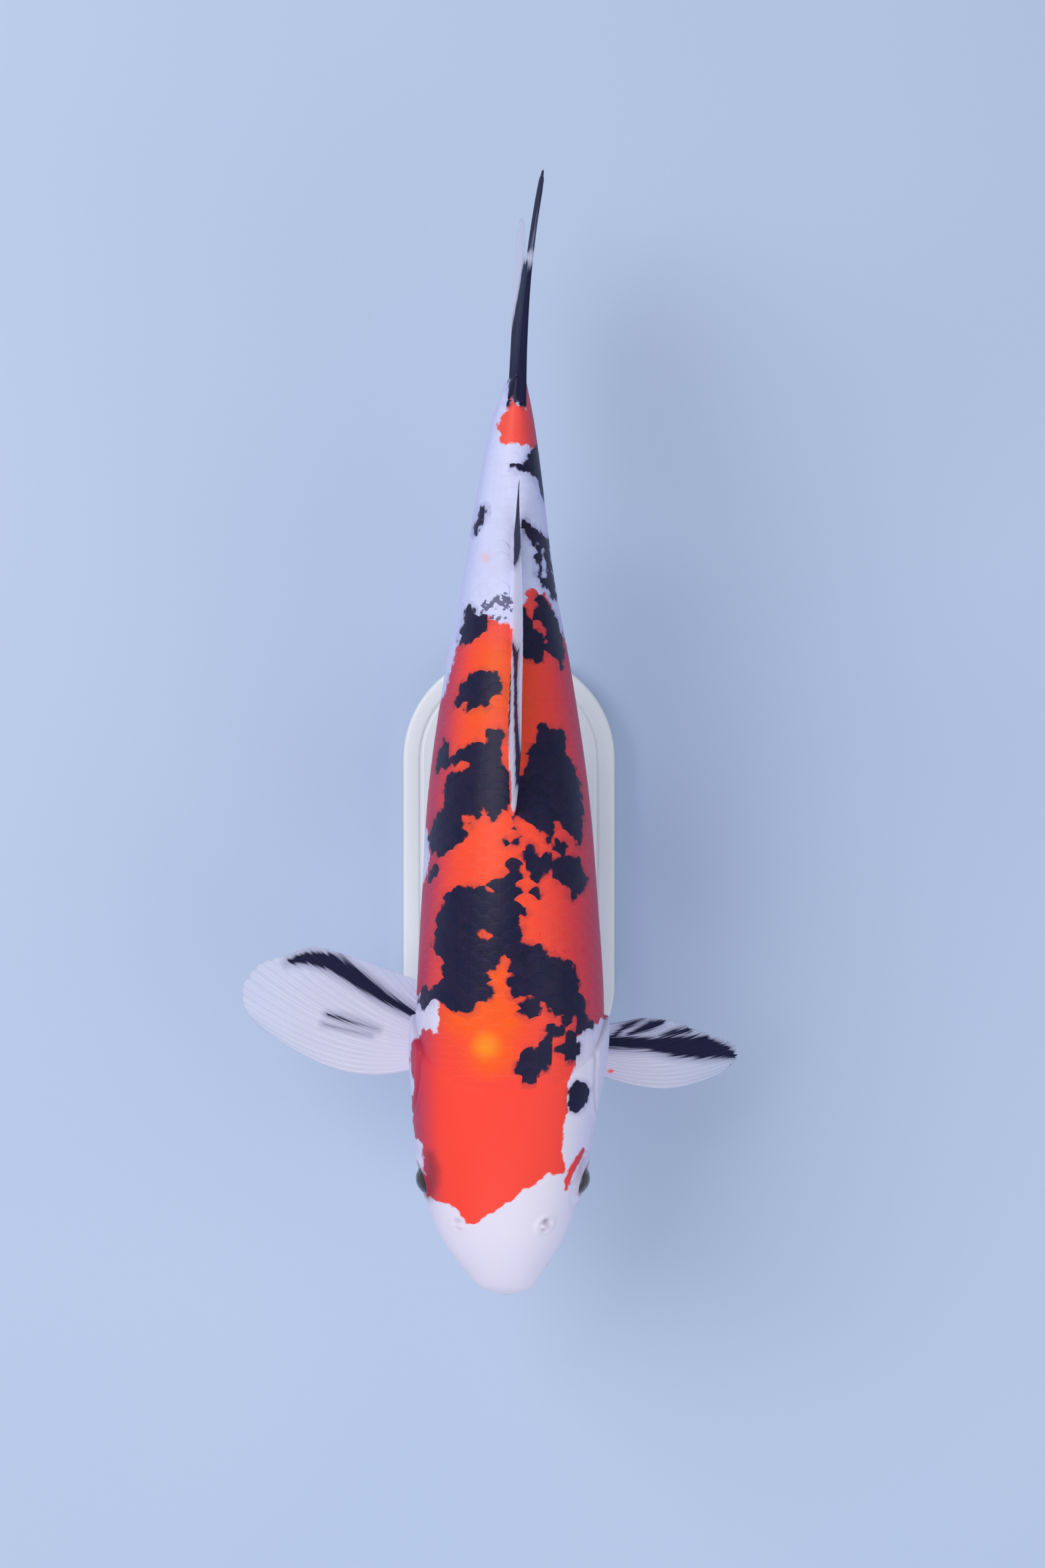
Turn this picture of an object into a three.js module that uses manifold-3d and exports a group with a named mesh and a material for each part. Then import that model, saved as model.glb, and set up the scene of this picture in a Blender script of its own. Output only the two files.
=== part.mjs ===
// A life-size koi carp on a plain display stand.
// Millimetres, +Z up. The snout points to -Y, the fish's left side is +X,
// and the origin is the centre of the stand's underside.
import * as THREE from 'three';
import { LoftGeometry } from 'three/addons/geometries/LoftGeometry.js';
import { mergeVertices } from 'three/addons/utils/BufferGeometryUtils.js';
import Module from 'manifold-3d';

const wasm = await Module();
wasm.setup();

// ---------------------------------------------------------------- driving dimensions

const FLESH_LENGTH = 369; // snout to the end of the scaled tail stalk; the tail fin adds the rest
const GAP = 0.3; // clearance between neighbouring pieces
const RING_POINTS = 32; // points round one cross-section of the body
const RINGS = 34; // cross-sections along the body

// The trunk is parted at these distances from the snout.
const TRUNK_CUTS = [170, 238, 304];

// Heights are measured from the body's axis, a level line through the snout and the tail stalk.
const BELLY_DEPTH = 49.5;
const STAND = {
  station: 168, // distance from the snout to the middle of the base
  length: 190,
  width: 92,
  thickness: 12,
  edge: 1.5, // bevel round the top and bottom
  clearance: 58, // from the top of the base to the belly
  rodRadius: 4,
  rodStations: [122, 214],
};
const AXIS_HEIGHT = STAND.thickness + STAND.clearance + BELLY_DEPTH;

const EYE = { station: 49.5, side: 26.4, height: 9.5, radius: 8 };

// The fish's left side is +X.
const SIDES = [
  ['left', 1],
  ['right', -1],
];

// ---------------------------------------------------------------- the body's form

// Each row: distance from the snout, height of the back, height of the belly, half the width,
// and how far the middle lies to the fish's left.
const BODY_STATIONS = [
  [0, -6, -6, 0, -0.5],
  [3, 4.5, -14.5, 9.4, -0.6],
  [11, 13, -20.5, 15.8, -1.5],
  [28, 24, -27, 26.2, -2.3],
  [48, 32.5, -33.5, 32.6, -1.9],
  [68, 39, -39, 36, -1.5],
  [90, 44, -44, 38, -0.2],
  [118, 47.8, -48, 37.8, 0.9],
  [160, 50, -BELLY_DEPTH, 35.4, 0.7],
  [205, 47.4, -46, 32, 0.2],
  [250, 39.8, -37, 25.5, 0.1],
  [290, 31.4, -28, 18.2, 0.2],
  [325, 24.8, -22.6, 13.2, 1],
  [350, 22, -20.8, 8.9, 1.9],
  [FLESH_LENGTH, 22.5, -21.5, 3.8, 3.2],
];

// Stations are taken by their square root, which makes the snout blunt and round.
const stationSpline = new THREE.CubicInterpolant(
  BODY_STATIONS.map((row) => Math.sqrt(row[0])),
  BODY_STATIONS.flatMap((row) => row.slice(1)),
  4,
);

function bodyAt(station) {
  const [back, belly, halfWidth, middle] = stationSpline.evaluate(Math.sqrt(station));
  return { back, belly, halfWidth, middle };
}

const smooth = THREE.MathUtils.smoothstep;

// Behind the head the fish is rolled a little, so its back lies to its left of the belly.
const BACK_LEAN = 2.4;
const backLean = (station) => BACK_LEAN * smooth(station, 90, 200);

// The gill covers stand proud of the flank towards their hind edge.
const COVER_BULGE = 2;
function coverBulge(station, turn) {
  const flank = Math.max(0, Math.sin(turn)) * (1 - smooth(Math.abs(Math.cos(turn)), 0.35, 0.95));
  return COVER_BULGE * flank * smooth(station, 74, 106);
}

const WIDEST_AT = 0.53; // the widest level, as a share of the depth above the belly
const FULLNESS = { head: 0.86, trunk: 0.96 }; // 1 is an ellipse, and less is squarer

// A point of the skin. Turn 0 is the back, a quarter turn is the flank and a half turn is the belly.
function skinPoint(station, turn, side, grow, withCovers) {
  const { back, belly, halfWidth, middle } = bodyAt(station);
  const fullness = THREE.MathUtils.lerp(FULLNESS.head, FULLNESS.trunk, smooth(station, 40, 150));
  const widest = belly + (back - belly) * WIDEST_AT;
  const across = Math.sin(turn) ** fullness;
  const up = Math.cos(turn);
  const reach = (up > 0 ? back - widest : widest - belly) + grow;
  const bulge = withCovers ? coverBulge(station, turn) : 0;
  const above = reach * Math.sign(up) * Math.abs(up) ** fullness;
  const lean = (backLean(station) * above) / BELLY_DEPTH;
  const out = side * Math.max(0, halfWidth + grow + bulge) * across;
  return new THREE.Vector3(middle + lean + out, station, widest + above);
}

// One cross-section, counterclockwise as seen from behind the fish.
function bodyRing(station, grow, withCovers) {
  const half = RING_POINTS / 2;
  const ring = [];
  for (let i = 0; i < RING_POINTS; i++) {
    const side = i < half ? 1 : -1;
    const turn = (side > 0 ? i : RING_POINTS - i) * (Math.PI / half);
    ring.push(skinPoint(station, turn, side, grow, withCovers));
  }
  return ring;
}

// Cross-sections stand closer together towards the snout, which ends in a tiny flat.
const SNOUT_FLAT = 0.12;
const EVEN_SPACING = 0.14; // the share of the spacing that is the same all along
const RING_STATIONS = [];
for (let i = 0; i <= RINGS; i++) {
  const t = i / RINGS;
  const along = THREE.MathUtils.lerp(t * t, t, EVEN_SPACING);
  RING_STATIONS.push(THREE.MathUtils.lerp(SNOUT_FLAT, FLESH_LENGTH, along));
}

function bodySolid({ grow = 0, withCovers = false, from = 0, to = FLESH_LENGTH } = {}) {
  const sections = RING_STATIONS.filter((station) => station >= from && station <= to).map(
    (station) => bodyRing(station, grow, withCovers),
  );
  return solidOf(new LoftGeometry(sections, { capStart: true, capEnd: true }));
}

// ---------------------------------------------------------------- solids and meshes

function solidOf(geometry) {
  const bare = new THREE.BufferGeometry();
  bare.setAttribute('position', geometry.attributes.position);
  bare.setIndex(geometry.index);
  const merged = mergeVertices(bare, 1e-4);
  return new wasm.Manifold(
    new wasm.Mesh({
      numProp: 3,
      vertProperties: new Float32Array(merged.attributes.position.array),
      triVerts: new Uint32Array(merged.index.array),
    }),
  );
}

function geometryOf(solid) {
  const { numProp, vertProperties, triVerts } = solid.getMesh();
  const places = new Float32Array((vertProperties.length / numProp) * 3);
  for (let i = 0; i < places.length / 3; i++) {
    places.set(vertProperties.subarray(i * numProp, i * numProp + 3), i * 3);
  }
  const geometry = new THREE.BufferGeometry();
  geometry.setAttribute('position', new THREE.BufferAttribute(places, 3));
  geometry.setIndex(new THREE.BufferAttribute(triVerts, 1));
  geometry.computeVertexNormals();
  return geometry;
}

const WIDE = 120; // more than the body's width and height

// Everything between two distances from the snout.
function slice(from, to) {
  const box = new THREE.BoxGeometry(2 * WIDE, to - from, 2 * WIDE);
  box.translate(0, (from + to) / 2, 0);
  return solidOf(box);
}

// A side-view outline extruded across the body between two sideways distances. The outline follows a
// smooth curve and then straight lines through its corners; both are [station, height] points.
function sidePrism({ curve, corners }, fromSide, toSide) {
  const outline = new THREE.Shape();
  outline.moveTo(...curve[0]);
  outline.splineThru(curve.slice(1).map((p) => new THREE.Vector2(...p)));
  corners.forEach((p) => outline.lineTo(...p));
  const prism = new THREE.ExtrudeGeometry(outline, {
    depth: toSide - fromSide,
    bevelEnabled: false,
    curveSegments: 2,
  });
  prism.translate(0, 0, fromSide);
  const axes = new THREE.Matrix4().makeBasis(
    new THREE.Vector3(0, 1, 0),
    new THREE.Vector3(0, 0, 1),
    new THREE.Vector3(1, 0, 0),
  );
  return solidOf(prism.applyMatrix4(axes));
}

// The same outline with every point moved.
const shifted = ({ curve, corners }, along, up) => {
  const move = ([station, height]) => [station + along, height + up];
  return { curve: curve.map(move), corners: corners.map(move) };
};

// ---------------------------------------------------------------- head

// The head ends at a line from the nape, down the gill opening, to under the throat.
const HEAD_OUTLINE = {
  curve: [
    [84, 70],
    [87, 46],
    [98, 28],
    [110, 13],
    [113.5, -2],
    [109, -17],
    [98, -29],
    [84, -38],
    [66, -50],
    [52, -70],
  ],
  corners: [
    [-20, -75],
    [-20, 75],
  ],
};
const headPrism = (gap = 0) => sidePrism(shifted(HEAD_OUTLINE, gap, 0), -WIDE, WIDE);

// The gill cover lies behind this curved front edge and ends where the head ends.
const COVER_OUTLINE = {
  curve: [
    [102, 25.5],
    [91, 24],
    [80, 17.5],
    [74, 6],
    [73, -7],
    [77, -19],
    [86, -30],
    [94, -35],
  ],
  corners: [
    [130, -40],
    [130, 30],
  ],
};
const COVER_THICKNESS = 5;
const COVER_SIDE = 8; // the plate stays this far from the middle of the head

const JAW_OUTLINE = {
  curve: [
    [-10, -7],
    [6, -10.5],
    [15, -16.5],
    [21, -25],
    [24, -40],
  ],
  corners: [[-10, -40]],
};

function eyeBall(side, grow = 0) {
  const ball = new THREE.SphereGeometry(EYE.radius + grow, 14, 9);
  ball.rotateZ(Math.PI / 2);
  ball.translate(bodyAt(EYE.station).middle + side * EYE.side, EYE.station, EYE.height);
  return solidOf(ball);
}

function coverPrism(side, gap = 0) {
  const outline = shifted(COVER_OUTLINE, -gap, 0);
  return side > 0 ? sidePrism(outline, COVER_SIDE, WIDE) : sidePrism(outline, -WIDE, -COVER_SIDE);
}

function headPieces() {
  const whole = bodySolid({ withCovers: true, to: 140 }).intersect(headPrism());
  const core = bodySolid({ grow: -COVER_THICKNESS, from: 30, to: 140 });
  const deepCore = bodySolid({ grow: -COVER_THICKNESS - GAP, from: 30, to: 140 });
  const pieces = { lower_jaw: whole.intersect(sidePrism(JAW_OUTLINE, -WIDE, WIDE)) };
  let head = whole.subtract(sidePrism(shifted(JAW_OUTLINE, GAP, GAP), -WIDE, WIDE));
  for (const [name, side] of SIDES) {
    pieces[`gill_cover_${name}`] = whole.intersect(coverPrism(side)).subtract(core);
    pieces[`eye_${name}`] = eyeBall(side);
    head = head.subtract(coverPrism(side, GAP).subtract(deepCore)).subtract(eyeBall(side, GAP));
  }
  return { head, ...pieces };
}

// ---------------------------------------------------------------- trunk

const NAPE_GAP = 0.4; // measured along the body, where the cut behind the head slopes

function trunkPieces() {
  const trunk = bodySolid().subtract(headPrism(NAPE_GAP));
  const [shoulder, middle, rear] = TRUNK_CUTS;
  return {
    trunk_front: trunk.intersect(slice(40, shoulder - GAP / 2)),
    trunk_middle: trunk.intersect(slice(shoulder + GAP / 2, middle - GAP / 2)),
    trunk_rear: trunk.intersect(slice(middle + GAP / 2, rear - GAP / 2)),
    tail_stalk: trunk.intersect(slice(rear + GAP / 2, FLESH_LENGTH + 1)),
  };
}

// ---------------------------------------------------------------- fins

const point = (p) => new THREE.Vector3(...p);

const FIN_THICKNESS = [2.6, 0.8]; // at the root and at the margin
const DORSAL_THICKNESS = [3.4, 0.8];
const TAIL_THICKNESS = [4.4, 0.8];

// A fin is a fan of rays from its root to its margin. Both lines are given as [side, station, height]
// points, from the leading ray to the hindmost one. bow pushes the middle of each ray out of line,
// and fades to nothing at the hindmost ray.
function finSolid({ root, margin, bow, thickness = FIN_THICKNESS, rays = 13, steps = 5, swell = 0 }) {
  const [rootThickness, edgeThickness] = thickness;
  const rootLine = new THREE.CatmullRomCurve3(root.map(point));
  const marginLine = new THREE.CatmullRomCurve3(margin.map(point));
  const bend = point(bow);
  const place = (across, along) => {
    const start = rootLine.getPoint(across);
    const lift = Math.sin(Math.PI * along) * (1 - across);
    return start.lerp(marginLine.getPoint(across), along).addScaledVector(bend, lift);
  };
  const faceNormal = (across, along) => {
    const a = THREE.MathUtils.clamp(across, 0.02, 0.98);
    const b = THREE.MathUtils.clamp(along, 0.02, 0.98);
    const acrossWay = place(a + 0.01, b).sub(place(a - 0.01, b));
    const alongWay = place(a, b + 0.01).sub(place(a, b - 0.01));
    return acrossWay.cross(alongWay).normalize();
  };
  const sections = [];
  for (let i = 0; i <= rays; i++) {
    const face = [];
    const back = [];
    for (let j = 0; j <= steps; j++) {
      const along = j / steps;
      const half = THREE.MathUtils.lerp(rootThickness, edgeThickness, along) / 2 + swell;
      const normal = faceNormal(i / rays, along).multiplyScalar(half);
      face.push(place(i / rays, along).add(normal));
      back.push(place(i / rays, along).sub(normal));
    }
    sections.push([...back, ...face.reverse()]);
  }
  return solidOf(new LoftGeometry(sections, { capStart: true, capEnd: true }));
}

// Points near the ridge of the back and on the keel of the belly, sunk into the flesh.
const SINK = 4;
function ridge([station, aside]) {
  const { back, middle } = bodyAt(station);
  return [middle + backLean(station) + aside, station, back - SINK];
}
function keel(station) {
  const { belly, middle } = bodyAt(station);
  return [middle - backLean(station) / 2, station, belly + SINK];
}

// The dorsal fin leans a little to the fish's left. Each root is its station and how far it lies
// to the left of the ridge.
const DORSAL_ROOTS = [
  [192, -0.8],
  [228, -1.8],
  [264, -0.1],
  [300, 0.2],
];
const DORSAL_FIN = {
  root: DORSAL_ROOTS.map(ridge),
  margin: [
    [5.2, 220, 79],
    [5.8, 232, 74],
    [6, 252, 62],
    [5.6, 278, 50.5],
    [5, 304, 42],
    [4.8, 325, 35],
  ],
  bow: [0, -3, 2],
  thickness: DORSAL_THICKNESS,
  rays: 18,
};

const ANAL_FIN = {
  root: [266, 280, 293].map(keel),
  margin: [
    [-1, 299, -68],
    [-0.4, 307, -62],
    [0.2, 312, -52],
    [0, 314, -40],
  ],
  bow: [0, -3, -2],
  rays: 8,
};

// The tail fin is twisted a little: its upper lobe leans to the fish's left.
const FORK_ROOT = [3.4, 361, -0.3];
const TAIL_FINS = {
  upper: {
    root: [
      [5.5, 352, 18.5],
      [4.6, 358, 11],
      FORK_ROOT,
    ],
    margin: [
      [13.9, 437, 52.5],
      [14.2, 443, 47],
      [12, 439, 37],
      [9, 424, 21],
      [7.5, 412, 8],
      [7, 408, 0.2],
    ],
    bow: [-2, 3, 4],
    thickness: TAIL_THICKNESS,
  },
  lower: {
    root: [
      [1.2, 352, -17.5],
      [2.2, 358, -11],
      FORK_ROOT,
    ],
    margin: [
      [3.2, 434, -54],
      [4.8, 441, -49],
      [6.6, 437, -38],
      [7.2, 423, -21],
      [7.1, 411, -8],
      [7, 408, -0.6],
    ],
    bow: [0.3, 3, -4],
    thickness: TAIL_THICKNESS,
  },
};

const PELVIC_FIN = {
  root: [
    [14, 168, -42],
    [9.5, 173, -44],
    [5.5, 177, -45],
  ],
  margin: [
    [30, 205, -67],
    [29.5, 214, -68],
    [23, 218, -64],
    [13, 209, -55],
  ],
  bow: [2, -2, -1],
  rays: 8,
};

// The right pectoral is spread level; the left one is turned leading edge down.
const PECTORAL_FINS = {
  right: {
    root: [
      [-28, 92, -27],
      [-27.5, 100, -29.5],
      [-26.5, 109, -32],
    ],
    margin: [
      [-101, 104, -39],
      [-109, 113, -37],
      [-110, 122, -35],
      [-103, 132, -32],
      [-92, 136, -30],
      [-80, 139.5, -28],
      [-66, 136, -27],
      [-52, 131, -27],
      [-38, 126, -29],
    ],
    bow: [0, -10.5, 3],
  },
  left: {
    root: [
      [30, 90, -29],
      [30, 99, -29.5],
      [29, 108, -31],
    ],
    margin: [
      [92, 85, -67],
      [96.5, 91, -62],
      [94, 98, -54],
      [86, 101.5, -46],
      [76, 105.5, -38],
      [66, 109, -31],
      [56, 110.5, -27],
      [43, 107.5, -26],
    ],
    bow: [2, -8, 1],
  },
};

const mirrored = (points, side) => points.map(([x, station, z]) => [side * x, station, z]);

// The body and its gill covers with the clearance round them, which shapes everything that meets them.
function clearBody() {
  const covers = bodySolid({ grow: GAP, withCovers: true, to: 130 }).intersect(headPrism(2 * GAP));
  return bodySolid({ grow: GAP }).add(covers);
}

function finPieces() {
  const body = clearBody();
  const fins = {
    dorsal_fin: DORSAL_FIN,
    anal_fin: ANAL_FIN,
    tail_fin_upper: TAIL_FINS.upper,
    tail_fin_lower: TAIL_FINS.lower,
  };
  for (const [name, side] of SIDES) {
    fins[`pectoral_fin_${name}`] = PECTORAL_FINS[name];
    fins[`pelvic_fin_${name}`] = {
      ...PELVIC_FIN,
      root: mirrored(PELVIC_FIN.root, side),
      margin: mirrored(PELVIC_FIN.margin, side),
      bow: mirrored([PELVIC_FIN.bow], side)[0],
    };
  }
  const pieces = {};
  for (const [name, fin] of Object.entries(fins)) {
    pieces[name] = finSolid(fin).subtract(body);
  }
  pieces.tail_fin_lower = pieces.tail_fin_lower.subtract(finSolid({ ...TAIL_FINS.upper, swell: GAP }));
  return pieces;
}

// ---------------------------------------------------------------- barbels

// The long pair hangs from the corners of the mouth and the short pair from above the upper lip.
const BARBELS = {
  corner: { path: [[14, 16, -15], [19.5, 18.5, -19.5], [22, 23.5, -24.5], [21, 29, -28]], radius: 1.1 },
  lip: { path: [[12, 10.5, -7], [16.5, 11.6, -9.5], [18.5, 15, -13]], radius: 0.85 },
};

function barbelSolid({ path, radius }, side) {
  const middle = bodyAt(12).middle;
  const line = new THREE.CatmullRomCurve3(
    path.map(([x, station, z]) => new THREE.Vector3(middle + side * x, station, z)),
  );
  const steps = 7;
  const sides = 8;
  const frames = line.computeFrenetFrames(steps);
  const sections = [];
  for (let i = 0; i <= steps; i++) {
    const thickness = radius * (1 - 0.6 * (i / steps) ** 2);
    const ring = [];
    for (let j = 0; j < sides; j++) {
      const angle = (j / sides) * 2 * Math.PI;
      ring.push(
        line
          .getPoint(i / steps)
          .addScaledVector(frames.normals[i], Math.cos(angle) * thickness)
          .addScaledVector(frames.binormals[i], Math.sin(angle) * thickness),
      );
    }
    sections.push(ring);
  }
  return solidOf(new LoftGeometry(sections, { capStart: true, capEnd: true }));
}

function barbelPieces() {
  const body = bodySolid({ grow: GAP, to: 80 });
  const pieces = {};
  for (const [name, side] of SIDES) {
    for (const [place, barbel] of Object.entries(BARBELS)) {
      pieces[`barbel_${place}_${name}`] = barbelSolid(barbel, side).subtract(body);
    }
  }
  return pieces;
}

// ---------------------------------------------------------------- stand

function baseGeometry() {
  const { length, width, thickness, edge } = STAND;
  const half = width / 2 - edge;
  const straight = length / 2 - width / 2;
  const outline = new THREE.Shape();
  outline.absarc(0, straight, half, 0, Math.PI, false);
  outline.absarc(0, -straight, half, Math.PI, 2 * Math.PI, false);
  const base = new THREE.ExtrudeGeometry(outline, {
    depth: thickness - 2 * edge,
    bevelSize: edge,
    bevelThickness: edge,
    bevelSegments: 1,
    curveSegments: 12,
  });
  return base.translate(0, 0, edge);
}

// A rod stands on the base and its top is shaped to the belly.
function rodPieces() {
  const body = bodySolid({ grow: GAP });
  const baseTop = -BELLY_DEPTH - STAND.clearance;
  const pieces = {};
  STAND.rodStations.forEach((station, i) => {
    const top = bodyAt(station).belly + 8;
    const rod = new THREE.CylinderGeometry(STAND.rodRadius, STAND.rodRadius, top - baseTop, 20);
    rod.rotateX(Math.PI / 2);
    rod.translate(0, station, (top + baseTop) / 2);
    pieces[`stand_rod_${i ? 'rear' : 'front'}`] = solidOf(rod).subtract(body);
  });
  return pieces;
}

// ---------------------------------------------------------------- materials and assembly

const FINISHES = {
  vermilion: { color: 0xe8481f, roughness: 0.35 },
  ink: { color: 0x1b1c2c, roughness: 0.35 },
  pearl: { color: 0xe9e6ea, roughness: 0.35 },
  clearFin: { color: 0xcfd0de, roughness: 0.4 },
  darkEye: { color: 0x16120f, roughness: 0.08 },
  steel: { color: 0xb8bcc0, roughness: 0.3, metalness: 1 },
  lacquer: { color: 0xd9d8d4, roughness: 0.45 },
};

const FINISH_OF = {
  head: 'vermilion',
  lower_jaw: 'pearl',
  gill_cover_left: 'pearl',
  gill_cover_right: 'vermilion',
  eye_left: 'darkEye',
  eye_right: 'darkEye',
  trunk_front: 'vermilion',
  trunk_middle: 'ink',
  trunk_rear: 'pearl',
  tail_stalk: 'pearl',
  stand_base: 'lacquer',
  stand_rod_front: 'steel',
  stand_rod_rear: 'steel',
};

function meshOf(name, geometry) {
  const material = new THREE.MeshStandardMaterial(FINISHES[FINISH_OF[name] ?? 'clearFin']);
  const mesh = new THREE.Mesh(geometry, material);
  mesh.name = name;
  return mesh;
}

const fish = new THREE.Group();
fish.position.set(0, -STAND.station, AXIS_HEIGHT);
const fishPieces = {
  ...headPieces(),
  ...trunkPieces(),
  ...finPieces(),
  ...barbelPieces(),
  ...rodPieces(),
};
for (const [name, solid] of Object.entries(fishPieces)) {
  fish.add(meshOf(name, geometryOf(solid)));
}

const koi = new THREE.Group();
koi.add(fish, meshOf('stand_base', baseGeometry()));

export default koi;
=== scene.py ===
"""The looks of a life-size koi carp on a plain display stand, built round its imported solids.

Lengths in the tables are millimetres. A station is the distance behind the snout, a side is the
distance to the fish's left, and a height is measured from the body's axis. A turn is the angle round
the body, 0 at the back, positive on the fish's left and half a turn at the belly.
"""

import math

import bpy
import numpy as np
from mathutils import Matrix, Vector


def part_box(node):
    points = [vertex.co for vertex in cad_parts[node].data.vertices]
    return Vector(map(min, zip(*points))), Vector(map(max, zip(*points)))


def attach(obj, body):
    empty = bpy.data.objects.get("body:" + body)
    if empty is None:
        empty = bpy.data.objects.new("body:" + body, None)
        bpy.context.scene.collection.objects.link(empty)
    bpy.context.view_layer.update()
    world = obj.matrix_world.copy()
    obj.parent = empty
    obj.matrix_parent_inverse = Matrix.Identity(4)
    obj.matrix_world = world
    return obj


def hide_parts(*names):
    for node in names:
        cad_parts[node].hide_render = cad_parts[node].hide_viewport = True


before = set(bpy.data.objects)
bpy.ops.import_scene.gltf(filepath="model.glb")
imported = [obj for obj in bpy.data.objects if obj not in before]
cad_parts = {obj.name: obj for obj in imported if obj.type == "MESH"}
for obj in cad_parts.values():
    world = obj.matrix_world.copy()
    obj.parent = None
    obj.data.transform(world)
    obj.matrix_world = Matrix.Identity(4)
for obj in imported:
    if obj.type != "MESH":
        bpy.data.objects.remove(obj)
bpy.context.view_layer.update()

bl_info = {
    "name": "Koi carp model",
    "version": (1, 0, 0),
    "blender": (4, 5, 0),
    "location": "3D View > Sidebar > Koi",
    "description": "Dresses a koi carp model with skin, scales, fins, eyes, a stand and a studio",
    "category": "Object",
}

MM = 0.001
LEFT, RIGHT = 1, -1


# ---------------------------------------------------------------- curves and distances

OUT_OF_REACH = 1e3  # longer than any distance on the model


def smooth(value, low, high):
    """0 up to low, 1 from high on, and an even rise between them."""
    t = np.clip((value - low) / (high - low), 0, 1)
    return t * t * (3 - 2 * t)


def bell(distance, width):
    """1 at no distance, and almost nothing at two widths."""
    return np.exp(-((distance / width) ** 2))


def blend(a, b, share):
    return a + (b - a) * share


def ease(start, end, leave, arrive, t):
    """A cubic from start to end that leaves and arrives at the given rates."""
    back = 1 - t
    return (
        start * (1 + 2 * t) * back**2
        + end * (3 - 2 * t) * t**2
        + leave * t * back**2
        - arrive * back * t**2
    )


def through(knots, values, x):
    """A smooth curve that has these values at the knots, read at x."""
    slopes = np.diff(values) / np.diff(knots)
    rates = np.concatenate([slopes[:1], (slopes[1:] + slopes[:-1]) / 2, slopes[-1:]])
    i = np.clip(np.searchsorted(knots, x, side="right") - 1, 0, len(slopes) - 1)
    width = knots[i + 1] - knots[i]
    t = (x - knots[i]) / width
    return ease(values[i], values[i + 1], rates[i] * width, rates[i + 1] * width, t)


def spline(points, share):
    """A smooth line through the points, with an even share for each stretch between two of them."""
    points = np.asarray(points, float)
    p = np.vstack([2 * points[0] - points[1], points, 2 * points[-1] - points[-2]])
    gaps = np.sqrt(np.linalg.norm(np.diff(p, axis=0), axis=1))
    place = np.clip(np.asarray(share, float), 0, 1) * (len(points) - 1)
    i = np.minimum(place.astype(int), len(points) - 2)
    before, here, after = (gaps[i + n][..., None] for n in range(3))
    p0, p1, p2, p3 = (p[i + n] for n in range(4))
    leave = ((p1 - p0) / before - (p2 - p0) / (before + here) + (p2 - p1) / here) * here
    arrive = ((p2 - p1) / here - (p3 - p1) / (here + after) + (p3 - p2) / after) * here
    return ease(p1, p2, leave, arrive, (place - i)[..., None])


def unit(vectors):
    """The vectors at a length of 1."""
    return vectors / (np.linalg.norm(vectors, axis=-1, keepdims=True) + 1e-9)


def full_circle(count):
    """Evenly spaced angles round a circle."""
    return np.linspace(0, 2 * math.pi, count, endpoint=False)


def segment_distance(start, end, x, y):
    """The distance to a straight stretch, and the share of it that lies before the nearest point."""
    along_x, along_y = end[0] - start[0], end[1] - start[1]
    away_x, away_y = x - start[0], y - start[1]
    share = (away_x * along_x + away_y * along_y) / (along_x * along_x + along_y * along_y)
    share = np.clip(share, 0, 1)
    return np.hypot(away_x - share * along_x, away_y - share * along_y), share


def line_distance(line, x, y):
    """The distance to an open line of points."""
    nearest = np.full(x.shape, OUT_OF_REACH)
    for start, end in zip(line, line[1:]):
        distance, _ = segment_distance(start, end, x, y)
        nearest = np.minimum(nearest, distance)
    return nearest


def outline_distance(outline, x, y):
    """The distance to a closed outline, negative inside it."""
    inside = np.zeros(x.shape, bool)
    closed = [*outline, outline[0]]
    for (ax, ay), (bx, by) in zip(closed, closed[1:]):
        if ay != by:
            crossing = ax + (bx - ax) * (y - ay) / (by - ay)
            inside ^= ((ay > y) != (by > y)) & (x < crossing)
    nearest = line_distance(closed, x, y)
    return np.where(inside, -nearest, nearest)


def stroke_distance(stroke, x, y):
    """The distance to a brush stroke through [x, y, radius] points, negative inside it."""
    if len(stroke) == 1:
        dot_x, dot_y, radius = stroke[0]
        return np.hypot(x - dot_x, y - dot_y) - radius
    nearest = np.full(x.shape, OUT_OF_REACH)
    for start, end in zip(stroke, stroke[1:]):
        distance, share = segment_distance(start, end, x, y)
        nearest = np.minimum(nearest, distance - blend(start[2], end[2], share))
    return nearest


# ---------------------------------------------------------------- the body's form


def middle_of(node):
    """The middle of a solid's box, in millimetres."""
    low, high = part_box(node)
    return np.array((low + high) / 2) / MM


# The eyes tell where the snout and the body's axis are in the model's frame.
EYE_STATION, EYE_HEIGHT = 49.5, 9.5
EYES = {LEFT: middle_of("eye_left"), RIGHT: middle_of("eye_right")}
SNOUT_Y = EYES[LEFT][1] - EYE_STATION
AXIS_Z = EYES[LEFT][2] - EYE_HEIGHT
ORIGIN = np.array([0, SNOUT_Y, AXIS_Z])

FLESH_LENGTH = 369
BELLY_DEPTH = 49.5

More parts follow.
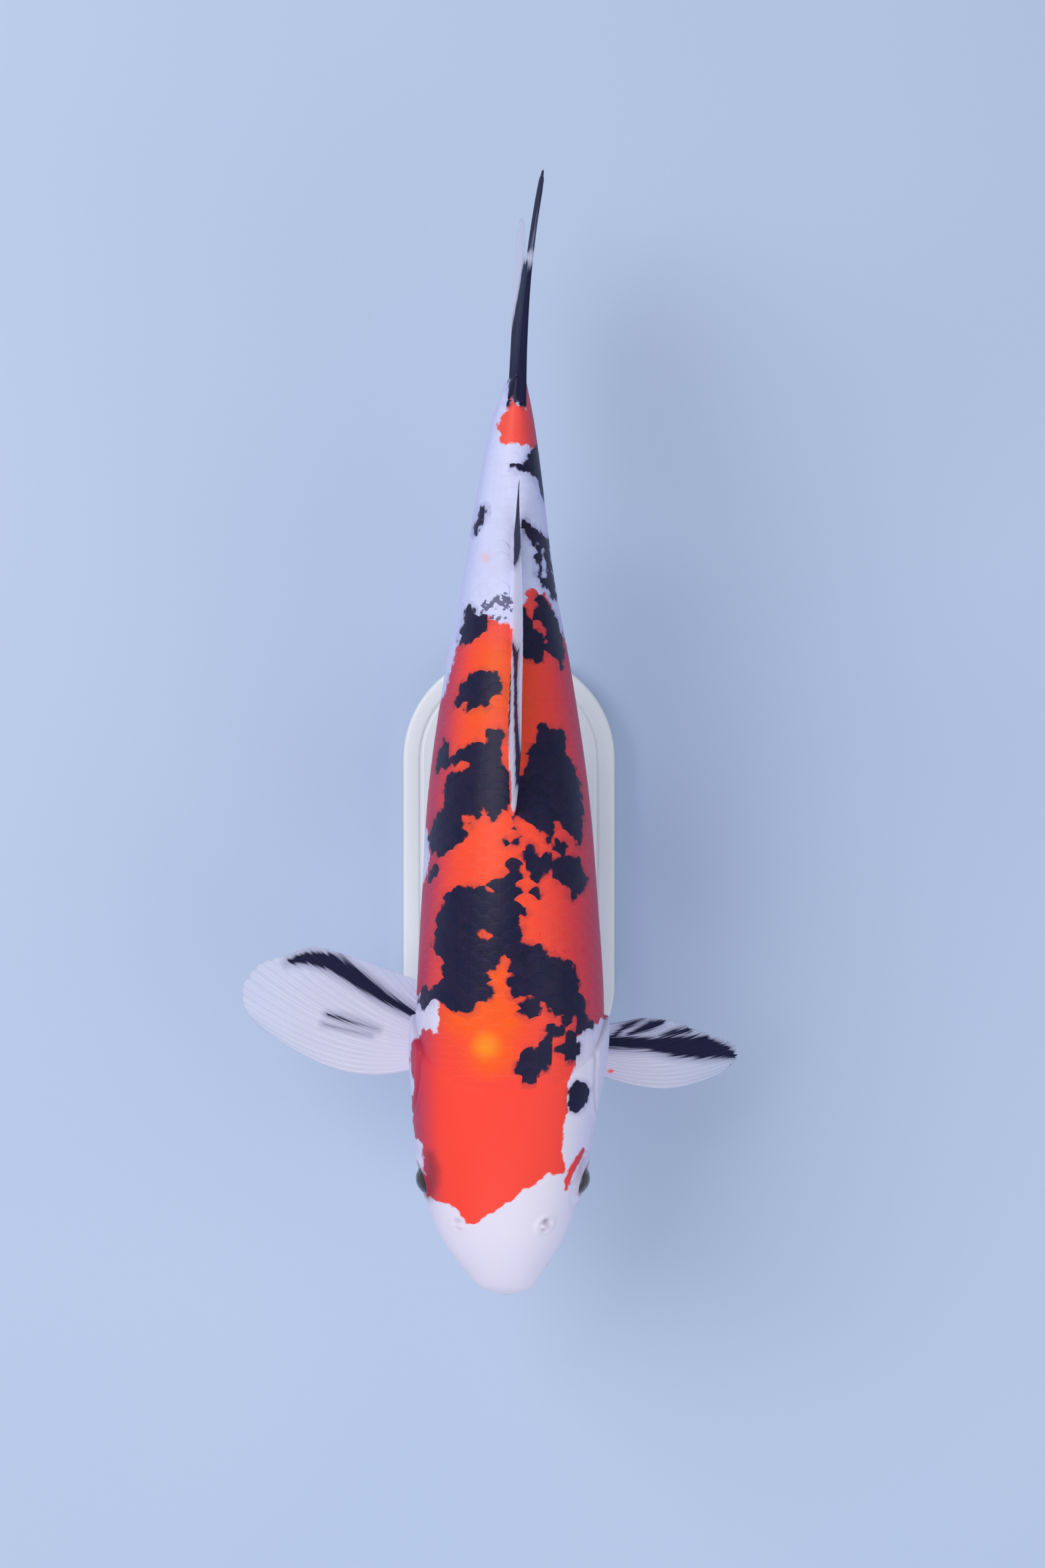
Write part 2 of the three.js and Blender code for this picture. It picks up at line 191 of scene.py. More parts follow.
# Each row: station, height of the back, height of the belly, half the width, and the middle's side.
BODY_STATIONS = np.array([
    [0, -6, -6, 0, -0.5],
    [3, 4.5, -14.5, 9.4, -0.6],
    [11, 13, -20.5, 15.8, -1.5],
    [28, 24, -27, 26.2, -2.3],
    [48, 32.5, -33.5, 32.6, -1.9],
    [68, 39, -39, 36, -1.5],
    [90, 44, -44, 38, -0.2],
    [118, 47.8, -48, 37.8, 0.9],
    [160, 50, -BELLY_DEPTH, 35.4, 0.7],
    [205, 47.4, -46, 32, 0.2],
    [250, 39.8, -37, 25.5, 0.1],
    [290, 31.4, -28, 18.2, 0.2],
    [325, 24.8, -22.6, 13.2, 1],
    [350, 22, -20.8, 8.9, 1.9],
    [FLESH_LENGTH, 22.5, -21.5, 3.8, 3.2],
])
STATION_ROOTS = np.sqrt(BODY_STATIONS[:, 0])  # square roots make the snout blunt and round
BACK_LEAN = 2.4  # behind the head the back leans this far to the left, and the belly to the right
WIDEST_AT = 0.53  # the widest level's place between belly and back
HEAD_FULLNESS, TRUNK_FULLNESS = 0.86, 0.96  # an ellipse has 1, and less is boxier
STALK_END = 0.8  # the end of the tail stalk closes to an upright line with this share of its height
STALK_ROUNDING = 4  # the end of the tail stalk is rounded over this length


def body_at(station):
    """Back, belly, half the width and middle at each station."""
    root = np.sqrt(station)
    return [through(STATION_ROOTS, column, root) for column in BODY_STATIONS.T[1:]]


def back_lean(station):
    return BACK_LEAN * smooth(station, 90, 200)


def widest_height(station):
    back, belly, _, _ = body_at(station)
    return blend(belly, back, WIDEST_AT)


def body_points(station, turn, grow=0.0):
    """Points of the body's surface as [side, station, height]."""
    back, belly, half, middle = body_at(station)
    near_end = np.clip((station - FLESH_LENGTH) / STALK_ROUNDING + 1, 0, 1)
    rounding = np.sqrt(1 - near_end**2)
    fullness = blend(HEAD_FULLNESS, TRUNK_FULLNESS, smooth(station, 40, 150))
    widest = blend(belly, back, WIDEST_AT)
    across, up = np.sin(turn), np.cos(turn)
    reach = np.where(up > 0, back - widest, widest - belly) * blend(STALK_END, 1, rounding) + grow
    above = reach * np.sign(up) * np.abs(up) ** fullness
    out = np.maximum((half + grow) * rounding, 0) * np.sign(across) * np.abs(across) ** fullness
    side = middle + back_lean(station) * above / BELLY_DEPTH + out
    return np.stack([side, station + 0 * turn, widest + above], axis=-1)


# ---------------------------------------------------------------- the markings
# They are drawn as seen from above, as [side, station] on the level plane through the axis.
# Below the body's widest level the drawing goes on down the flank as if laid out flat.

VIEW_SIDE, VIEW_STATION, VIEW_HEIGHT = 5.9, 205.9, 1250

SCARLET = [
    [  # hood and mantle
        (-33, 42), (-33.5, 50), (-34, 57), (-34.5, 62.5), (-36, 63.5), (-39.5, 64.5), (-42.5, 67),
        (-44.5, 71), (-44, 75.5), (-42, 79), (-39, 80.5), (-37, 82), (-37, 88),
        (-37.8, 92), (-37.8, 97), (-37, 101), (-36, 105), (-34, 108), (-31.5, 107.6), (-29.8, 106),
        (-28.3, 106), (-28, 110), (-27.8, 114), (-28.4, 118),
        (-30, 120), (-34, 121), (-46, 122), (-48, 136), (-45, 150), (-36, 162), (-33.5, 168),
        (-32.3, 174), (-31.8, 180), (-32.3, 186), (-34, 190), (-46, 197), (-46, 204), (-42, 218),
        (-32, 233), (-26.5, 240), (-24, 248), (-21.5, 257), (-20.3, 262), (-17, 263.5), (-13, 268),
        (-8.7, 271), (-8, 272.7), (-7, 273), (-6.3, 271), (-4, 271), (-1, 271.3), (0.5, 270), (2, 268),
        (4.5, 268), (5.5, 270), (6.2, 275), (6.6, 279), (7.8, 283), (10.5, 284.2), (13, 283),
        (15.4, 282.3), (17, 279), (18.5, 275), (20, 271), (24, 262), (29, 252), (38, 244), (44, 236),
        (42, 216), (48, 198), (45, 176), (51, 156), (46, 138), (49, 122), (44, 115), (36, 110.5),
        (33, 108), (30, 106), (28.5, 103), (28, 99), (27.5, 95), (26, 90.5), (24.5, 86), (24.2, 84),
        (23.8, 78), (24, 75), (23, 72), (22.3, 69.5), (22.6, 67), (22, 63), (21.8, 60.5), (22.5, 57),
        (23.2, 54), (23.5, 51.5), (22.5, 49.5), (20, 49.3), (18, 49.8), (16.5, 50.2), (15.3, 49),
        (13.5, 48), (12, 47), (11.8, 45), (9.5, 44.3), (7, 43.8), (5.5, 43), (4.6, 41.3), (3.5, 40),
        (1, 38.5), (-1.5, 37.3), (-4, 35.3), (-6, 34), (-9, 32.5), (-11, 31), (-13, 29.3), (-15.5, 29),
        (-17, 30.5), (-18.5, 33), (-20, 35.2), (-22.5, 36.5), (-25, 38), (-27.5, 38.3), (-29, 38.8),
        (-31, 40),
    ],
    [  # spot on the tail stalk
        (-4.5, 349), (-3.8, 345), (-2, 342.5), (0, 341.8), (3, 342), (6, 342), (8.5, 341),
        (12.5, 338.5), (15.5, 341), (17.5, 346), (16.5, 352), (13.5, 356), (11.3, 357), (10.5, 364),
        (8, 368), (6.5, 364), (5.8, 357.5), (4.2, 358), (2.8, 359), (2, 361.5), (1, 359), (0, 357),
        (-1, 355), (-3, 352.5),
    ],
]
SCARLET_STROKES = [
    # rim over the left eye
    [(23.3, 43.8, 0.9), (24.5, 48, 1.3), (26.2, 52.5, 1.4), (28.2, 56.3, 1.3), (30.4, 59, 1)],
    # under the left gill
    [(35.2, 63, 0.6), (36.2, 69, 0.9), (36.7, 75, 0.6)],
]

INK = [
    [  # saddle, shoulder and nape
        (-31.5, 140), (-30, 143.5), (-29.3, 147), (-28.8, 151), (-28, 155), (-26.5, 157), (-26.3, 160),
        (-25, 162), (-24, 163.5), (-21, 164.3), (-18.5, 164), (-16, 165), (-12.5, 165.3), (-10.5, 165),
        (-8.5, 165.8), (-6.5, 166), (-5, 168), (-3, 169), (-1.2, 170.5), (0.3, 172.5), (0, 174.5),
        (1.2, 176), (3.2, 176.5), (5, 176), (5.8, 173.5), (5.2, 172), (6, 170), (7, 168.5), (5.8, 167),
        (4.2, 167.2), (4.3, 165.2), (6, 164), (6.2, 162.3), (5, 161), (4, 159.8), (3.8, 158.3),
        (5.5, 157.8), (6, 156.2), (7.5, 155.7), (7.5, 153.5), (5, 153), (4, 152), (4, 150.7),
        (5.5, 149.8), (6.3, 148), (6.5, 145.5), (5.8, 143), (8, 142), (10.5, 141.8), (13, 140.5),
        (15, 139), (17, 137), (19, 136.3), (21, 136), (22.5, 134.6), (24.5, 135.2), (26.7, 134.5),
        (27, 132), (28.3, 130), (28.2, 127), (28.7, 124.5), (28.8, 121.5), (30.8, 120), (31.7, 118),
        (31.5, 115.5), (31.2, 113.6), (33, 111), (34.8, 110), (34.5, 108), (33, 107), (31, 106.3),
        (29.5, 105.5), (28.5, 103.5), (29.3, 101.5), (29.7, 99.5), (29, 97.5), (28, 95.3), (26, 93.5),
        (23.5, 94.3), (22.5, 96.5), (20.5, 97.5), (19.6, 99.5), (20.5, 101.5), (22.5, 101.8),
        (23.5, 103.5), (23.2, 105.5), (24.5, 107), (26.5, 107.5), (28, 109), (28.5, 111),
        (28.3, 112.7), (27, 112.8), (25.7, 113), (25.9, 111.5), (25.6, 109.5), (24, 108.4),
        (22.5, 108.8), (21.6, 110.5), (21.5, 112.5), (21, 113.4), (19.8, 112.6), (18, 113.3),
        (16.5, 114.6), (15.5, 116), (14.5, 117.5), (13.5, 119.3), (11, 120.4), (8, 120.4), (6, 119.8),
        (3.5, 118.8), (1.3, 119.3), (1.8, 121.5), (0.8, 123.5), (0, 125.5), (0.5, 128), (2, 129),
        (1, 130.3), (-0.5, 131), (0.8, 133), (0.5, 135.5), (-1, 137.2), (-3, 137), (-4, 134.5),
        (-4, 132), (-5.5, 131), (-7.5, 130.7), (-8.6, 129), (-7.5, 127.5), (-6.8, 126.3), (-8, 125.5),
        (-6.5, 125), (-5, 123.7), (-4.7, 122), (-6.3, 120), (-8.5, 118.8), (-10.5, 118.5),
        (-12.3, 117.5), (-13, 116), (-13.5, 114), (-15.5, 113.6), (-17, 114), (-19, 114), (-21, 114.8),
        (-23.2, 115.6), (-24.5, 117.6), (-26, 118.6), (-28, 119.2), (-30, 119.3), (-32, 117.3),
        (-34.5, 115.6), (-36.5, 118), (-35.8, 121), (-34.5, 124.3), (-33, 125.3), (-31.5, 123.5),
        (-30, 123.8), (-28.5, 125), (-26.2, 127.5), (-25.8, 131), (-26.8, 134), (-27.5, 137),
        (-29.5, 139),
    ],
    [  # chain on the nape
        (8.5, 85.5), (6.5, 86.3), (5.5, 88.5), (3.5, 89.3), (2.6, 91.5), (3.4, 94), (5.5, 95.5),
        (6.2, 97.5), (6.4, 99.7), (8.5, 100.2), (10.5, 99.3), (12, 99.8), (12.4, 101.5), (13.8, 103),
        (14.9, 105), (14.7, 107), (16, 108.7), (17.5, 110.6), (19, 110.1), (19.8, 108.5),
        (21.7, 109.1), (22.6, 107.5), (23, 105.5), (21, 104.4), (19.5, 104), (18, 103), (17.2, 101),
        (18.1, 99.5), (18.7, 97.5), (17.6, 96), (16.6, 95), (16.1, 92.5), (15.1, 90.6), (13, 89.5),
        (11.9, 90), (11.5, 88), (10.6, 86.2),
    ],
    [  # below the saddle
        (4, 117.7), (3.4, 115.5), (4.4, 113.3), (6.5, 112.8), (8, 112.6), (9, 111.5), (10.5, 112),
        (11.5, 113.1), (13.2, 113.7), (13.9, 115.5), (13.2, 118), (11.5, 119.6), (9.5, 120.3),
        (7, 119.6), (5.5, 119),
    ],
    [  # left cheek
        (26, 86.3), (28, 87.3), (30, 86.8), (31.7, 85.4), (32.7, 83.5), (32.2, 81.5), (32, 79.5),
        (31, 76.8), (29.5, 75), (27.5, 74.2), (25.3, 74.8), (24, 77), (24.1, 79.5), (24.6, 82),
        (24.8, 84.5),
    ],
    [  # right side of the dorsal fin's front
        (-1, 196.8), (-0.2, 199), (0.1, 203), (-0.2, 207), (-0.8, 211), (-1.8, 214), (-2.8, 216.5),
        (-2.2, 221), (-1.1, 225), (-1.7, 227.2), (-3, 228.5), (-5.5, 227.6), (-7.5, 226.9), (-9, 226),
        (-8.3, 224), (-8.6, 222.8), (-10, 222.2), (-11.5, 222.5), (-13.3, 223), (-14.5, 222.5),
        (-16, 221.2), (-18, 220.4), (-19.5, 219.2), (-21.5, 218), (-23.3, 216.6), (-23.8, 219),
        (-23.5, 223.2), (-25, 223.2), (-26, 224), (-27, 221.5), (-28, 219), (-28.8, 216),
        (-29.4, 212.5), (-29.5, 210.3), (-28.3, 210.3), (-27.5, 212), (-26.5, 212.8), (-25.8, 211.5),
        (-24.2, 212), (-23, 213.3), (-21.5, 214.2), (-19.3, 215), (-17.5, 215.2), (-16.5, 213.7),
        (-17.5, 211.9), (-19.5, 210.9), (-21.5, 210.3), (-23.5, 210.1), (-24.7, 209), (-25.2, 206),
        (-26, 203), (-25.4, 200), (-26.2, 197), (-27.2, 195), (-29.2, 193), (-30.4, 190.5), (-31, 188),
        (-32, 186), (-32.5, 183.5), (-31.8, 181), (-31, 178.3), (-29.3, 178), (-28, 176.3),
        (-26.5, 177), (-25, 178), (-23.5, 179.3), (-21.5, 180.2), (-20, 181.3), (-18.8, 182.9),
        (-17.2, 184), (-16.8, 186), (-17, 188), (-18, 190), (-18.8, 191.5), (-18.2, 193.4),
        (-16.7, 193.5), (-15.5, 193), (-13.5, 193.3), (-12.8, 191.6), (-11, 191.4), (-10.4, 193),
        (-11, 194.4), (-10.5, 195.7), (-9.5, 196.6), (-8.5, 195), (-8.3, 192.5), (-8, 190.6),
        (-6.5, 190.3), (-5, 191.8), (-3.5, 193.8), (-2.3, 195.3),
    ],
    [  # left side of the dorsal fin's front
        (1.6, 193.8), (2.5, 193), (4, 192.6), (6, 192.8), (8, 191.3), (10.5, 188.8), (12, 186.8),
        (14, 185.8), (15, 184.3), (16.5, 182.2), (18, 182.8), (18.5, 185.3), (19, 187.5),
        (18.9, 189.6), (20.5, 190.5), (22.5, 189.2), (23.5, 187.5), (25, 186), (26.5, 184),
        (27.5, 182), (28.5, 180.2), (30, 180.8), (30.2, 184), (30.5, 188), (31, 191), (30.7, 196),
        (30, 201), (29.5, 206), (28.2, 210), (26.7, 213), (25.7, 215), (24.8, 216.5), (24, 217.5),
        (22.8, 219.3), (23.6, 222), (24, 224.5), (23, 227.2), (21.5, 228), (20, 226.9), (18.5, 227.2),
        (17, 228.7), (15.5, 229.8), (14, 229.9), (12.4, 229.2), (12.4, 226.5), (11.7, 224.5),
        (10.7, 222.6), (9.5, 221.3), (8.6, 221.2), (8.3, 217), (7.8, 213), (6.5, 210.3), (4.8, 209),
        (3.8, 206), (3.2, 203), (3.1, 198), (2, 196),
    ],
    [  # chain of spots behind the saddle
        (5.5, 177.5), (6.4, 175.9), (7.8, 174.9), (7.2, 173), (7.9, 171), (8.4, 169.4), (10, 168.1),
        (11, 166.7), (13.1, 167), (14.3, 169.4), (15, 170.3), (16.2, 170.4), (18.1, 170.8),
        (18.5, 169), (19.4, 166.8), (21, 165.3), (23, 164.8), (23.9, 163.3), (24.9, 161.3),
        (26, 159.7), (27.7, 159.8), (28, 161.4), (29.2, 161.4), (30.5, 163), (32.2, 165.5),
        (32.2, 168.5), (31.2, 171), (30.5, 173.5), (29.2, 175.6), (27, 177), (25, 177.2), (23, 176.8),
        (21.5, 176.3), (20.2, 177.4), (19.4, 176), (18.8, 176.1), (17.1, 177.7), (15, 178.5),
        (13.8, 177.3), (12.6, 178), (11.4, 179.7), (10.6, 181.7), (8.5, 182.3), (6.8, 181.2),
        (5.8, 178.6),
    ],
    [
        (17.8, 181), (18.3, 178.8), (20.5, 177.6), (22.6, 177.8), (24.2, 179.4), (24.2, 182.1),
        (22.6, 183.7), (20, 183.5), (18.3, 182.6),
    ],
    [
        (-2.4, 182.4), (-1, 183.7), (0.3, 184.6), (1, 183.7), (2, 184), (3.5, 185.2), (5.1, 184.7),
        (5.5, 182.8), (4.6, 181), (3, 180.7), (1, 180.6), (-0.5, 180.8), (-2, 181.4),
    ],
    [  # right flank
        (-22, 236.8), (-21.4, 239), (-20.6, 242), (-19.9, 244.5), (-18.5, 246.2), (-17, 247.2),
        (-15.5, 248.9), (-14, 250.2), (-12, 251), (-10, 251.4), (-9, 250.9), (-6.5, 250.5),
        (-4.5, 250.7), (-3, 249.3), (-2.6, 247), (-2.3, 244.5), (-3.2, 242.3), (-5.5, 241.1),
        (-7, 239.8), (-8.2, 238.7), (-7.6, 237), (-9, 236.3), (-10.5, 236.9), (-12, 236), (-14, 235.3),
        (-16.5, 235), (-17.8, 236), (-16.8, 237.6), (-15.5, 238.8), (-17, 239.2), (-18.5, 238.2),
        (-20, 236.9),
    ],
    [
        (-20.3, 262), (-19.6, 265), (-18.9, 268), (-18.4, 271), (-17.6, 274), (-16.9, 276.7),
        (-15.5, 278), (-14, 276.5), (-13.1, 274.5), (-12.5, 273.5), (-11, 272.7), (-9.8, 273.5),
        (-8.2, 273.1), (-7.9, 271.5), (-7.2, 270.5), (-8, 268.8), (-9.5, 267), (-11, 265.7),
        (-13, 264.2), (-14.5, 263.4), (-17, 262.4), (-18.5, 261.7),
    ],
    [  # left of the dorsal fin's end
        (5.2, 277), (4.8, 272), (5, 267), (5.3, 262), (5.7, 259), (6.7, 256.8), (8.3, 255.2),
        (10, 254.7), (12, 254.3), (13.7, 254.7), (14.5, 256.7), (15.3, 258.6), (17.3, 257.8),
        (19, 256.3), (20.5, 255.2), (21.2, 253.7), (22.4, 254.3), (23.2, 257), (23, 260), (22.5, 263),
        (21.7, 267), (20.7, 270.5), (19.2, 273.5), (17.7, 276), (16.2, 278.5), (14.7, 281), (13, 282),
        (11.3, 282.3), (10.8, 280.5), (11.2, 278.5), (11.2, 276), (10.6, 273.5), (11.3, 271.4),
        (13, 270), (14.7, 268.3), (15.5, 266.5), (15.9, 264), (15.2, 262), (14.7, 264), (14, 266.1),
        (13, 267.5), (11.5, 268.6), (9.8, 270.1), (8.9, 271.6), (7.9, 273.6), (7.1, 275.7),
        (6.2, 277.2),
    ],
    [  # right side of the tail stalk
        (-10, 317.6), (-8.7, 316.7), (-8.1, 314.5), (-9.4, 312.3), (-10.7, 309.9), (-12.1, 307.3),
        (-13.8, 304.6), (-14.4, 306), (-13.7, 309), (-12.5, 312), (-11.7, 315), (-10.9, 317),
    ],
    [  # left side of the tail stalk
        (1.3, 334.2), (3, 334), (5.5, 333.7), (7, 334.5), (8, 336.7), (9.2, 339.7), (11, 341.2),
        (13, 341), (14, 338), (14.5, 334), (15.2, 329), (15.4, 324), (15, 319), (14, 320.7),
        (12.9, 325), (11.3, 327.9), (9.4, 329.8), (7, 331.3), (5, 331.8), (3, 332.3), (1, 332.5),
    ],
    [  # where the tail fin begins
        (-0.6, 360), (-0.4, 357.6), (0.3, 357.3), (1.1, 359), (2, 361.3), (2.9, 359), (4.2, 358),
        (5.6, 357.2), (6.4, 358), (6.6, 366), (6.8, 380), (0.5, 380), (0, 366),
    ],
]
INK_STROKES = [
    [(10.3, 163.1, 1.2), (12, 161.5, 1.7)],
    [(3.2, 189.6, 0.9), (3.7, 187.8, 0.7)],
    [(-15, 190.2, 1.2), (-13.8, 190.4, 0.8)],
    # right flank
    [(-29.2, 172, 1.2), (-30.2, 169.5, 1.5), (-31.5, 167, 0.8)],
    [(21.9, 252.5, 0.8)],
    # left flank towards the tail
    [(7.2, 310, 1.2), (9, 307, 2.4), (12, 304, 2.6), (15.2, 303, 1.9)],
    [(15.2, 303, 1.9), (15.6, 299, 1.6), (16.6, 295, 1.3), (17.3, 290, 1.3), (17.6, 286, 1.7)],
    [(17.6, 286, 1.7), (18.6, 281, 1.5)],
    [(13.5, 301, 1.4), (12.6, 297, 1.5), (12.8, 293.5, 1.1), (13.6, 291.5, 0.5)],
    [(12, 290.8, 0.6), (13.6, 288, 1), (15.5, 285.5, 1.5), (17.6, 286, 1.5)],
]
INK_HOLES = [
    [(-10.5, 145.8, 1.1), (-8.8, 145.2, 0.9), (-7.2, 144.2, 0.7)],
    [(-8.4, 163.6, 0.5), (-6.3, 163.3, 0.6)],
]
GREY = [
    [
        (0.5, 285), (-1.5, 283.3), (-3.5, 281.8), (-5.5, 280.6), (-7.5, 279.7), (-9.7, 278.9),
        (-10.8, 276.5), (-9.8, 274.6), (-8.3, 275.6), (-6.8, 276.8), (-5.3, 278), (-3, 279.2),
        (-1.6, 278.3), (-1.1, 276.3), (0.4, 275.6), (1.2, 278.5), (1.2, 282),
    ],
    [(-5.4, 272), (-2.6, 273.6), (-3.2, 275), (-5.2, 273.6)],
]
# painted shade in dark brown round the eyes
UMBER_SHADE_STROKES = [
    [(-31.4, 41, 2.2), (-30.6, 46, 3.4), (-30.4, 52, 3.4), (-31.4, 57.5, 2.2)],
    [(27.6, 41.5, 0.4), (28.4, 46, 0.9), (29, 51, 0.9), (30.4, 56, 0.4)],
]
# orange along the back, partly the red's own and partly a painted sheen
WARM_TINT_AND_SHEEN_STROKES = [
    [(-19, 113, 4), (-12, 112, 5), (-6, 108, 5), (-7, 98, 6)],
    [(-6, 131, 2), (-8, 115, 4), (-2, 110, 4)],
    [(-12, 238, 2), (-6, 244, 3), (-5, 256, 3)],
]
# a painted highlight on the nape, and a small gold dot further back
GOLD_DOT_AND_HIGHLIGHT_STROKES = [[(-8.5, 101, 4)], [(-9, 296.5, -0.3)]]

# Each marking's outlines and strokes.
MARKINGS = {
    "scarlet": (SCARLET, SCARLET_STROKES),
    "ink": (INK, INK_STROKES),
    "grey": (GREY, []),
    "umber": ([], UMBER_SHADE_STROKES),
    "warm": ([], WARM_TINT_AND_SHEEN_STROKES),
    "gold": ([], GOLD_DOT_AND_HIGHLIGHT_STROKES),
}
FAR = 12  # distances to a marking's edge are capped at this
CORNER_CUT = 0.2  # the share of each side that is cut off at a corner


def as_seen(points):
    """[side, station] of points [side, station, height] on the plane that the markings are drawn on."""
    zoom = VIEW_HEIGHT / (VIEW_HEIGHT - points[..., 2])
    side = VIEW_SIDE + (points[..., 0] - VIEW_SIDE) * zoom
    station = VIEW_STATION + (points[..., 1] - VIEW_STATION) * zoom
    return side, station


def drawing_place(station, turn):
    """Where a point of the body lies on the drawing of the markings."""
    edge_turn = np.clip(turn, -math.pi / 2, math.pi / 2)
    side, seen = as_seen(body_points(station, edge_turn))
    below = np.maximum(widest_height(station) - body_points(station, turn)[..., 2], 0)
    return side + np.sign(turn) * below, seen


def rounded(outline):
    """The outline with its corners cut once."""
    corners = np.array(outline, float)
    after = np.roll(corners, -1, axis=0)
    cuts = [blend(corners, after, share) for share in (CORNER_CUT, 1 - CORNER_CUT)]
    return [tuple(p) for p in np.stack(cuts, axis=1).reshape(-1, 2)]


def marking_distance(outlines, strokes, x, y):
    """The distance to the nearest edge of a marking, negative inside it."""
    nearest = np.full(x.shape, float(FAR))
    shapes = [(outline_distance, rounded(shape)) for shape in outlines]
    shapes += [(stroke_distance, shape) for shape in strokes]
    for distance, shape in shapes:
        places = np.array([p[:2] for p in shape], float)
        low, high = places.min(axis=0) - FAR, places.max(axis=0) + FAR
        near = (x > low[0]) & (x < high[0]) & (y > low[1]) & (y < high[1])
        nearest[near] = np.minimum(nearest[near], distance(shape, x[near], y[near]))
    return np.maximum(nearest, -FAR)


def body_markings(x, y):
    """The body's markings at places on the drawing, as attributes of a mesh."""
    marks = {name: marking_distance(*shapes, x, y) for name, shapes in MARKINGS.items()}
    marks["ink"] = np.maximum(marks["ink"], -marking_distance([], INK_HOLES, x, y))
    return marks


def flank_shades(station, turn):
    """How the ground colours change over the body, as attributes of a mesh. The shade is painted shade
    on the flanks with a painted blue reflection in it, the blue light towards the tail is painted, and
    the back's orange is partly the red's own and partly a painted sheen.
    """
    left_from = blend(0.55, 0.2, smooth(station, 90, 130))
    left_flank, right_flank = smooth(turn, left_from, 1.35), smooth(-turn, 0.62, 1.25)
    above_belly = 1 - smooth(np.abs(turn), 1.3, 1.85)
    return {
        # the back's orange, partly the red's own and partly a painted sheen
        "back": smooth(station, 88, 125) * bell(turn + 0.3, 0.6),
        # painted shade on the flanks, with a painted blue reflection in it
        "shade": smooth(station, 22, 55)
        * (0.5 + 0.35 * above_belly)
        * np.maximum(left_flank, right_flank),
        # painted blue light, stronger towards the tail
        "aft": smooth(station, 60, 300) * above_belly,
    }


# ---------------------------------------------------------------- meshes


def grid_faces(rows, columns, closed=False):
    """Four corners for each cell of a grid of points, row by row, and round it if it is closed."""
    across = columns if closed else columns - 1
    row, column = np.meshgrid(np.arange(rows - 1), np.arange(across), indexing="ij")
    after = (column + 1) % columns
    corners = [
        row * columns + column,
        row * columns + after,
        (row + 1) * columns + after,
        (row + 1) * columns + column,
    ]
    return np.stack(corners, axis=-1).reshape(-1, 4)


def capped_faces(rows, columns):
    """The faces of a grid that is closed round, with one face over each of its two ends."""
    last = (rows - 1) * columns
    caps = [list(range(columns))[::-1], list(range(last, last + columns))]
    return grid_faces(rows, columns, closed=True).tolist() + caps


def add_piece(name, points, faces, finish, marks=None, corner_uvs=None):
    """A smooth mesh that rides on the model. Points are [side, station, height] rows, in millimetres."""
    mesh = bpy.data.meshes.new(name)
    places = (np.asarray(points, float).reshape(-1, 3) + ORIGIN) * MM
    mesh.from_pydata(places.tolist(), [], [list(face) for face in faces])
    mesh.polygons.foreach_set("use_smooth", [True] * len(mesh.polygons))
    for mark, values in (marks or {}).items():
        attribute = mesh.attributes.new(mark, "FLOAT", "POINT")
        attribute.data.foreach_set("value", np.asarray(values, np.float32).ravel())
    if corner_uvs is not None:
        layer = mesh.uv_layers.new(name="OFBake")
        layer.data.foreach_set("uv", np.asarray(corner_uvs, np.float32).ravel())
    mesh.materials.append(finish)
    mesh.update()
    piece = bpy.data.objects.new(name, mesh)
    bpy.context.scene.collection.objects.link(piece)
    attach(piece, "root")
    return piece


# ---------------------------------------------------------------- materials


class Signal:
    """A socket that takes part in sums: each operator adds a Math node."""

    def __init__(self, finish, socket):
        self.finish = finish
        self.socket = socket

    def __add__(self, other):
        return self.finish.math("ADD", self, other)

    __radd__ = __add__

    def __mul__(self, other):
        return self.finish.math("MULTIPLY", self, other)

    __rmul__ = __mul__

    def __sub__(self, other):
        return self.finish.math("SUBTRACT", self, other)

    def __rsub__(self, other):
        return self.finish.math("SUBTRACT", other, self)


